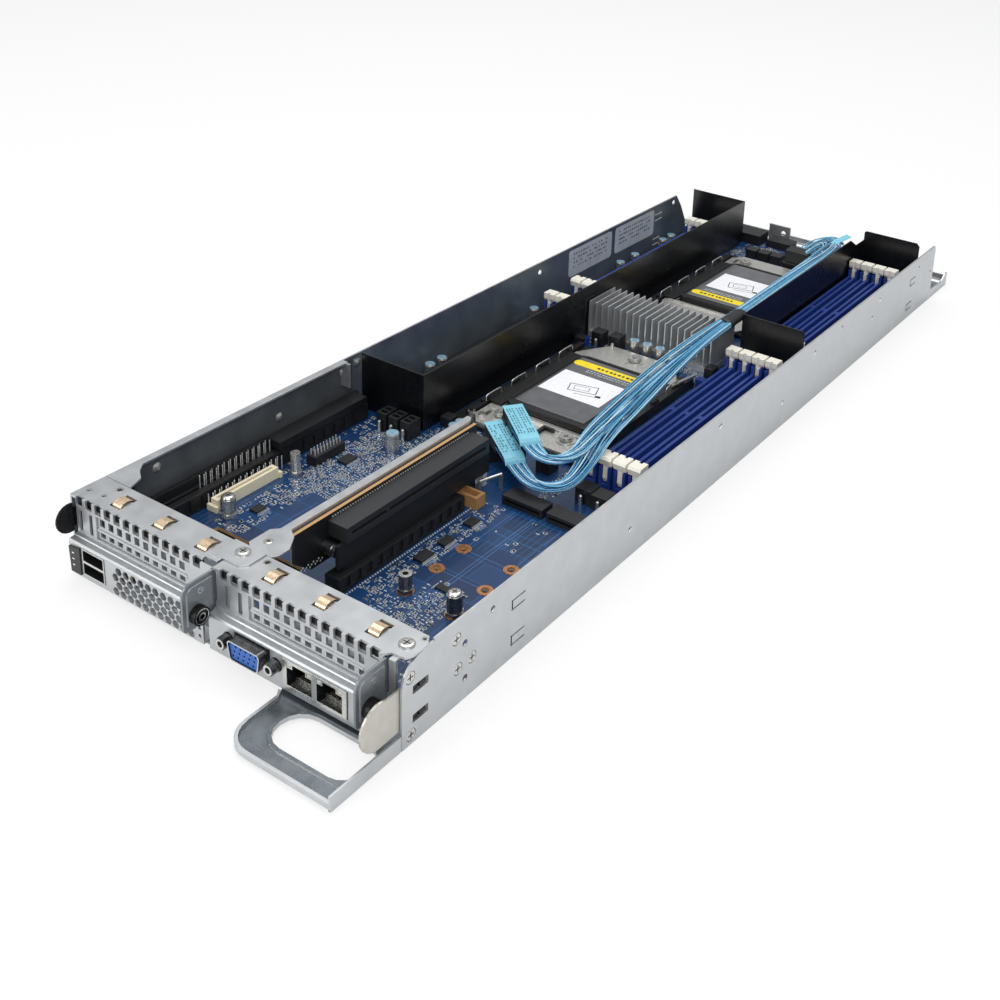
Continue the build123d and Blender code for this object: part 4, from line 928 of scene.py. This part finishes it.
# %% Rear plug, strap and rear tag
hood = blocks("rear_plug", [(-2, 16, 487, 499, BOARD, 12), (-1, 15, 488, 498, 12, 20.4)], black_moulding)
soften(hood, 0.4)
for item in plug_pieces + [hood]:
    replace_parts(item, "cable_plugs")
SLEEVE = ((329.6, 0.86), (331.0, 1.0), (338.0, 0.95), (347.6, 1.0), (349.4, 0.86))
ROUND = 24
verts = []
for y, swell in SLEEVE:
    verts += [at(37.3 + 4.7 * swell * math.cos(2 * math.pi * i / ROUND), y,
                 33.2 + 2.75 * swell * math.sin(2 * math.pi * i / ROUND)) for i in range(ROUND)]
final = ROUND * (len(SLEEVE) - 1)
faces = [tuple(range(ROUND)), tuple(final + i for i in reversed(range(ROUND)))]
for low in range(0, final, ROUND):
    faces += [(low + i, low + ROUND + i, low + ROUND + (i + 1) % ROUND, low + (i + 1) % ROUND)
              for i in range(ROUND)]
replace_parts(piece_from("strap_sleeve", verts, faces, black_moulding), "cable_strap")
lift = Vector((0.45, 0.87, 0.1)).normalized()
ribbon("rear_tag", Vector((31.5, 488.0, 33.4)), (lift, UP.cross(lift).normalized(), UP), 2.6,
       [(0, -1.0), (4, 0.2), (9, 0.8), (13, 1.4)], tag_blue)
print("sleeve points", len(verts))

# %% [markdown]
# ## Processor sockets
# White and yellow papers lie on the dust caps, with plain bars and a few crossing lines on them. Each is a
# block of its own, so that its edge shows. The rear socket is the front one turned half round, so each box
# is written once and turned by its sign. Black covers lie on the side rails.

# %% Papers, covers and rims of the sockets
SOCKETS = ((248.0, 1), (426.0, -1))
SOCKET_X = -1.0
CAP_TOP = 14.0
papers, yellows, rims, ends, ink, pale_ink, covers = [], [], [], [], [], [], []


def socket_box(socket, x0, x1, d0, d1, z0, z1):
    """Box given from the middle of a socket, turned the way the socket is."""
    y, way = socket
    xs, ys = sorted((SOCKET_X + way * x0, SOCKET_X + way * x1)), sorted((y + way * d0, y + way * d1))
    return (*xs, *ys, z0, z1)


for socket in SOCKETS:
    y, way = socket
    papers.append(socket_box(socket, -20, 18, -13, 13, CAP_TOP, CAP_TOP + 0.06))
    yellows.append(socket_box(socket, -18.8, 18.2, 21.5, 27.6, CAP_TOP, CAP_TOP + 0.05))
    ends += [(SOCKET_X + way * x, y + way * 24.55, CAP_TOP, CAP_TOP + 0.045, 3.05) for x in (-18.8, 18.2)]
    for x in [-7.0 + 2.6 * i for i in range(9)]:
        ink.append(socket_box(socket, x, x + chance.uniform(1.3, 2.0), 23.6, 25.4,
                              CAP_TOP + 0.05, CAP_TOP + 0.07))
    for x in [-10.0 + 1.9 * i for i in range(14)]:
        for v in (17.0, 19.0):
            pale_ink.append(socket_box(socket, x, x + chance.uniform(0.7, 1.4), v, v + 0.6,
                                       CAP_TOP, CAP_TOP + INK))
    for side in (-1, 1):
        rail, sill = SOCKET_X + side * 24.3, y + side * 34.3
        covers += [socket_box(socket, side * 26.0, side * 33.5, -36.5, 37.5, 10.0, 11.35),
                   (rail - 0.8, rail + 0.8, y - 30.5, y + 30.5, 13.2, 13.6),
                   (SOCKET_X - 20.5, SOCKET_X + 20.5, sill - 0.8, sill + 0.8, 13.2, 13.6)]
    rims += [(SOCKET_X + way * x, y + way * d, 10.0, 10.5, 4.2, 5.2)
             for x, d in ((-20.0, -45.0), (20.0, -45.0), (0.0, 51.5))]
blocks("cap_papers", papers, label_paper)
blocks("cap_yellow_films", yellows, yellow_film)
SKETCH = (
    (-8, 8, -4.6, -4.1), (-8, -7.5, -4.6, 3.6), (-8, 8, 3.1, 3.6), (7.5, 8, -4.6, 3.6),
    (-5, 3.6, -2.4, -2.1), (-5, -4.7, -2.4, 1.6), (-5, 3.6, 1.3, 1.6), (3.3, 3.6, -2.4, 1.6),
    (-4, 8, -7.4, -7.0), (8, 11, -7.4, -5.2)
)
tilt = (Vector((0.97, 0.24, 0)), Vector((-0.34, 0.94, 0)), UP)
for k, (y, way) in enumerate(SOCKETS):
    slab(f"cap_sketch_{k}", Vector((SOCKET_X, y, 0)), tilt,
         [(*span, CAP_TOP + 0.06, CAP_TOP + 0.085) for span in SKETCH], print_black)
blocks("cap_yellow_ink", ink, print_black)
blocks("cap_pale_ink", pale_ink, silk_ink)
studs("cap_yellow_ends", ends, yellow_film, 28)
soften(blocks("rail_covers", covers, socket_black), 0.15)
print("papers", len(papers), "covers", len(covers))

# %% [markdown]
# ## Wire hoops and small pieces round the sockets
# Bent wires stand up in four hoops from each side rail, and a pressed rim runs round each screw. A rod,
# two hollow posts, a hook and a small can stand close to the front socket.

# %% Hoops, rod, posts and rims
HOOP = ((-6.6, 11.4), (-6.6, 13.4), (-5.4, 14.4), (5.4, 14.4), (6.6, 13.4), (6.6, 11.4))
hoops = [[(SOCKET_X + way * side * 34.4, y + way * (22 * k - 32) + v, w) for v, w in HOOP]
         for y, way in SOCKETS for side in (-1, 1) for k in range(4)]
wires("rail_hoops", hoops, 0.42, nickel)
wires("socket_rods", [[(32.6, 282.0, 12.4), (34.6, 291.0, 13.2), (37.0, 300.0, 13.6)]], 0.9, nickel)
turned("corner_posts", [((x, y, 8.4), "z", [(0, 2.0), (3.0, 2.0), (3.0, 1.0), (0, 1.0)])
                        for x, y in ((-34.6, 196.4), (-29.0, 197.6))], nickel, 22, hollow=True)
blocks("frame_hook", [(3.4, 5.0, 198.6, 206.4, 10.0, 11.8), (5.0, 10.0, 204.8, 206.4, 10.0, 11.8)],
       socket_black)
turned("small_can", [((-32.6, 184.4, 0), "z", [(BOARD, 2.3), (11.4, 2.3), (11.6, 2.1)])], can_top, 24)
rings("screw_rims", rims, stainless)
print("hoops", len(hoops), "rims", len(rims))

# %% [markdown]
# ## Labels on the wall
# Two pale labels of film with grey bars sit on the left wall. Their tone could be painted on the wall's own
# faces, but a thin sheet with round corners has a rim that catches light, as the real film does.

# %% Wall labels
def wall_label(name, y0, y1, z0, z1, r=2.4):
    """Thin label with round corners on the inner face of the left wall."""
    corners = [(y1 - r, z1 - r, 0), (y0 + r, z1 - r, 90), (y0 + r, z0 + r, 180), (y1 - r, z0 + r, 270)]
    outline = [(cy + r * math.cos(math.radians(a + 15 * i)), cz + r * math.sin(math.radians(a + 15 * i)))
               for cy, cz, a in corners for i in range(7)]
    verts = [at(-87.98, y, z) for y, z in outline] + [at(-87.86, y, z) for y, z in outline]
    n = len(outline)
    faces = [list(range(n)), [n + i for i in reversed(range(n))]]
    faces += [[i, (i + 1) % n, n + (i + 1) % n, n + i] for i in range(n)]
    return piece_from(name, verts, faces, grey_label)


wall_label("wall_label_front", 361, 410, 17.2, 34.8)
wall_label("wall_label_rear", 414, 463, 17.2, 34.8)
bars = [(-87.87, -87.84, y0 + 5 + 2.6 * i, y0 + 5 + 2.6 * i + chance.uniform(0.9, 2.1), z, z + 1.1)
        for y0 in (361, 414) for z in (31.0, 28.2, 25.4, 22.6) for i in range(15) if chance.random() < 0.8]
blocks("wall_label_bars", bars, print_grey)
print("label bars", len(bars))

# %% [markdown]
# ## Port details and bright pins
# A small lens stands over each corner of a network port, and a comb of contacts fills its mouth. Silver
# pins stand in front of the black headers, and black and blue regulator parts fill the gap by the fins.

# %% Lenses, combs and pins
PORTS = (38.4, 53.2)  # left edge of each mouth; both are 12.2 wide
LENS = (-4.95, -2.5, 15.6, 16.8)
blocks("port_lenses_0", [(a + 0.1, a + 2.1, *LENS) for a in PORTS], green_lens)
blocks("port_lenses_1", [(a + 10.1, a + 12.1, *LENS) for a in PORTS], amber_lens)
teeth = [(a + 1.4 + 0.62 * i, a + 1.62 + 0.62 * i) for a in PORTS for i in range(16)]
blocks("port_combs", [(*tooth, -4.9, -1.5, 7.42, 7.6) for tooth in teeth]
       + [(*tooth, -1.55, -1.5, 7.6, 9.4) for tooth in teeth], nickel)
blocks("port_contacts", [(a + 2.05 + 1.02 * i, a + 2.35 + 1.02 * i, -1.45, 6.9, 8.6, 8.66)
                         for a in PORTS for i in range(8)], gold_flash)
studs("header_pins", [(-63.0 + 7.6 * i, 158.6, BOARD, 12.4, 0.9) for i in range(3)]
      + [(54.0 + 9.3 * i, 163.6, BOARD, 11.6, 0.9) for i in range(3)]
      + [(-31.6, 306.8, BOARD, 12.5, 1.0), (-21.0, 307.6, BOARD, 12.5, 1.0)], nickel, 12, 0.6)
cubes = [(-36.4, -29.2, 309.4, 316.6, BOARD, 15.0), (-25.4, -18.2, 310.4, 317.6, BOARD, 15.0),
         (37.6, 43.0, 308.4, 315.2, BOARD, 15.0)]
soften(blocks("regulator_cubes", cubes, black_moulding), 0.3)
blocks("blue_caps", [(-44.2, -37.6, 305.4, 309.4, BOARD, 11.0), (36.8, 41.8, 301.0, 305.6, BOARD, 10.6)],
       slot_blue)
print("labels and pins ready")

# %% [markdown]
# ## Floor, light and background
# The sled stands on a plain pale floor. Soft lamps stand high in front, to the right and above, at a level
# where a colour comes out about as written. Only camera rays and rays that pass through clear surfaces see
# the white background, so it throws no light of its own on the object.

# %% Floor
FLOOR_HALF = 6.0
FLOOR_GLOW = 0.72  # share of white that only the camera sees, so the floor keeps the object's shadow
mesh = bpy.data.meshes.new("floor")
mesh.from_pydata([(x * FLOOR_HALF, y * FLOOR_HALF, 0) for x, y in ((-1, -1), (1, -1), (1, 1), (-1, 1))], [],
                 [(0, 1, 2, 3)])
floor = put("floor", mesh)
floor.location.z = -0.0002
paper = bpy.data.materials.new("pale floor")
paper.use_nodes = True
tree = paper.node_tree
base = tree.nodes["Principled BSDF"]
base.inputs["Base Color"].default_value = srgb("#f4f4f4")
base.inputs["Roughness"].default_value = 0.9
glow = add(tree, "ShaderNodeEmission", {"Color": (1, 1, 1, 1), "Strength": 1.0})
path = add(tree, "ShaderNodeLightPath", {})
share = add(tree, "ShaderNodeMath", {"operation": "MULTIPLY"})
tree.links.new(path.outputs["Is Camera Ray"], share.inputs[0])
share.inputs[1].default_value = FLOOR_GLOW
blend = add(tree, "ShaderNodeMixShader", {})
tree.links.new(share.outputs["Value"], blend.inputs[0])
tree.links.new(base.outputs["BSDF"], blend.inputs[1])
tree.links.new(glow.outputs["Emission"], blend.inputs[2])
tree.links.new(blend.outputs["Shader"], tree.nodes["Material Output"].inputs["Surface"])
mesh.materials.append(paper)
floor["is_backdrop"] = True
print("floor", 2 * FLOOR_HALF, "m wide")

# %% World
world = bpy.data.worlds.new("studio")
bpy.context.scene.world = world
world.use_nodes = True
tree = world.node_tree
tree.nodes.clear()
path = add(tree, "ShaderNodeLightPath", {})
seen = add(tree, "ShaderNodeMath", {"operation": "MAXIMUM"})
tree.links.new(path.outputs["Is Camera Ray"], seen.inputs[0])
tree.links.new(path.outputs["Is Transmission Ray"], seen.inputs[1])
soft = add(tree, "ShaderNodeBackground", {"Color": (0.83, 0.84, 0.85, 1), "Strength": 0.5})
white = add(tree, "ShaderNodeBackground", {"Color": (1, 1, 1, 1), "Strength": 1.0})
blend = add(tree, "ShaderNodeMixShader", {}, Fac=seen.outputs["Value"])
tree.links.new(soft.outputs["Background"], blend.inputs[1])
tree.links.new(white.outputs["Background"], blend.inputs[2])
out = add(tree, "ShaderNodeOutputWorld", {}, Surface=blend.outputs["Shader"])
print("world has", len(tree.nodes), "nodes")

# %% Lamps
def lamp(name, place, aim, size, watts):
    """Soft square lamp that looks at a point."""
    light = bpy.data.lights.new(name, "AREA")
    light.size, light.energy = size, watts
    made = put(name, light)
    made.location = place
    made.rotation_euler = (Vector(aim) - Vector(place)).to_track_quat("-Z", "Y").to_euler()
    return made


lamp("key", (0.9, -1.0, 1.1), (0, 0, 0.02), 0.9, 11.5)
lamp("top", (-0.2, 0.3, 1.4), (0, 0.05, 0), 1.2, 13)
lamp("front", (-0.7, -1.3, 0.6), (0, -0.2, 0.02), 0.8, 6.5)

# %% [markdown]
# ## Camera
# The camera's place was worked out from straight edges of the tray in the photograph: it stands in front, to
# the right and above, looks 19.5 degrees down, and is turned 2.66 degrees on its own axis. The picture is a
# square cut from the lower right of a wider one, so the lens is shifted.

# %% Camera
AZIMUTH, ELEVATION, ROLL = math.radians(33.05), math.radians(19.50), math.radians(2.66)
back = Vector((math.sin(AZIMUTH) * math.cos(ELEVATION), -math.cos(AZIMUTH) * math.cos(ELEVATION),
               math.sin(ELEVATION)))
right = (-back).cross(Vector((0, 0, 1))).normalized()
up = right.cross(-back)
right, up = (right * math.cos(ROLL) + up * math.sin(ROLL), up * math.cos(ROLL) - right * math.sin(ROLL))
lens = bpy.data.cameras.new("portrait")
lens.lens = 1.37075 * 36
lens.shift_x, lens.shift_y = -0.0788, -0.2923  # as shares of the picture's width
lens.clip_start, lens.clip_end = 0.01, 20
camera = put("portrait", lens)
camera.matrix_world = Matrix((right, up, back)).transposed().to_4x4()
camera.location = (0.34531, -0.55363, 0.34280)
bpy.context.scene.camera = camera
bpy.context.scene.view_settings.view_transform = "Standard"
print("camera", [round(v, 3) for v in camera.location])

# %% The visual box
low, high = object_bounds()
print("visual box", [round(v, 4) for v in low], [round(v, 4) for v in high])
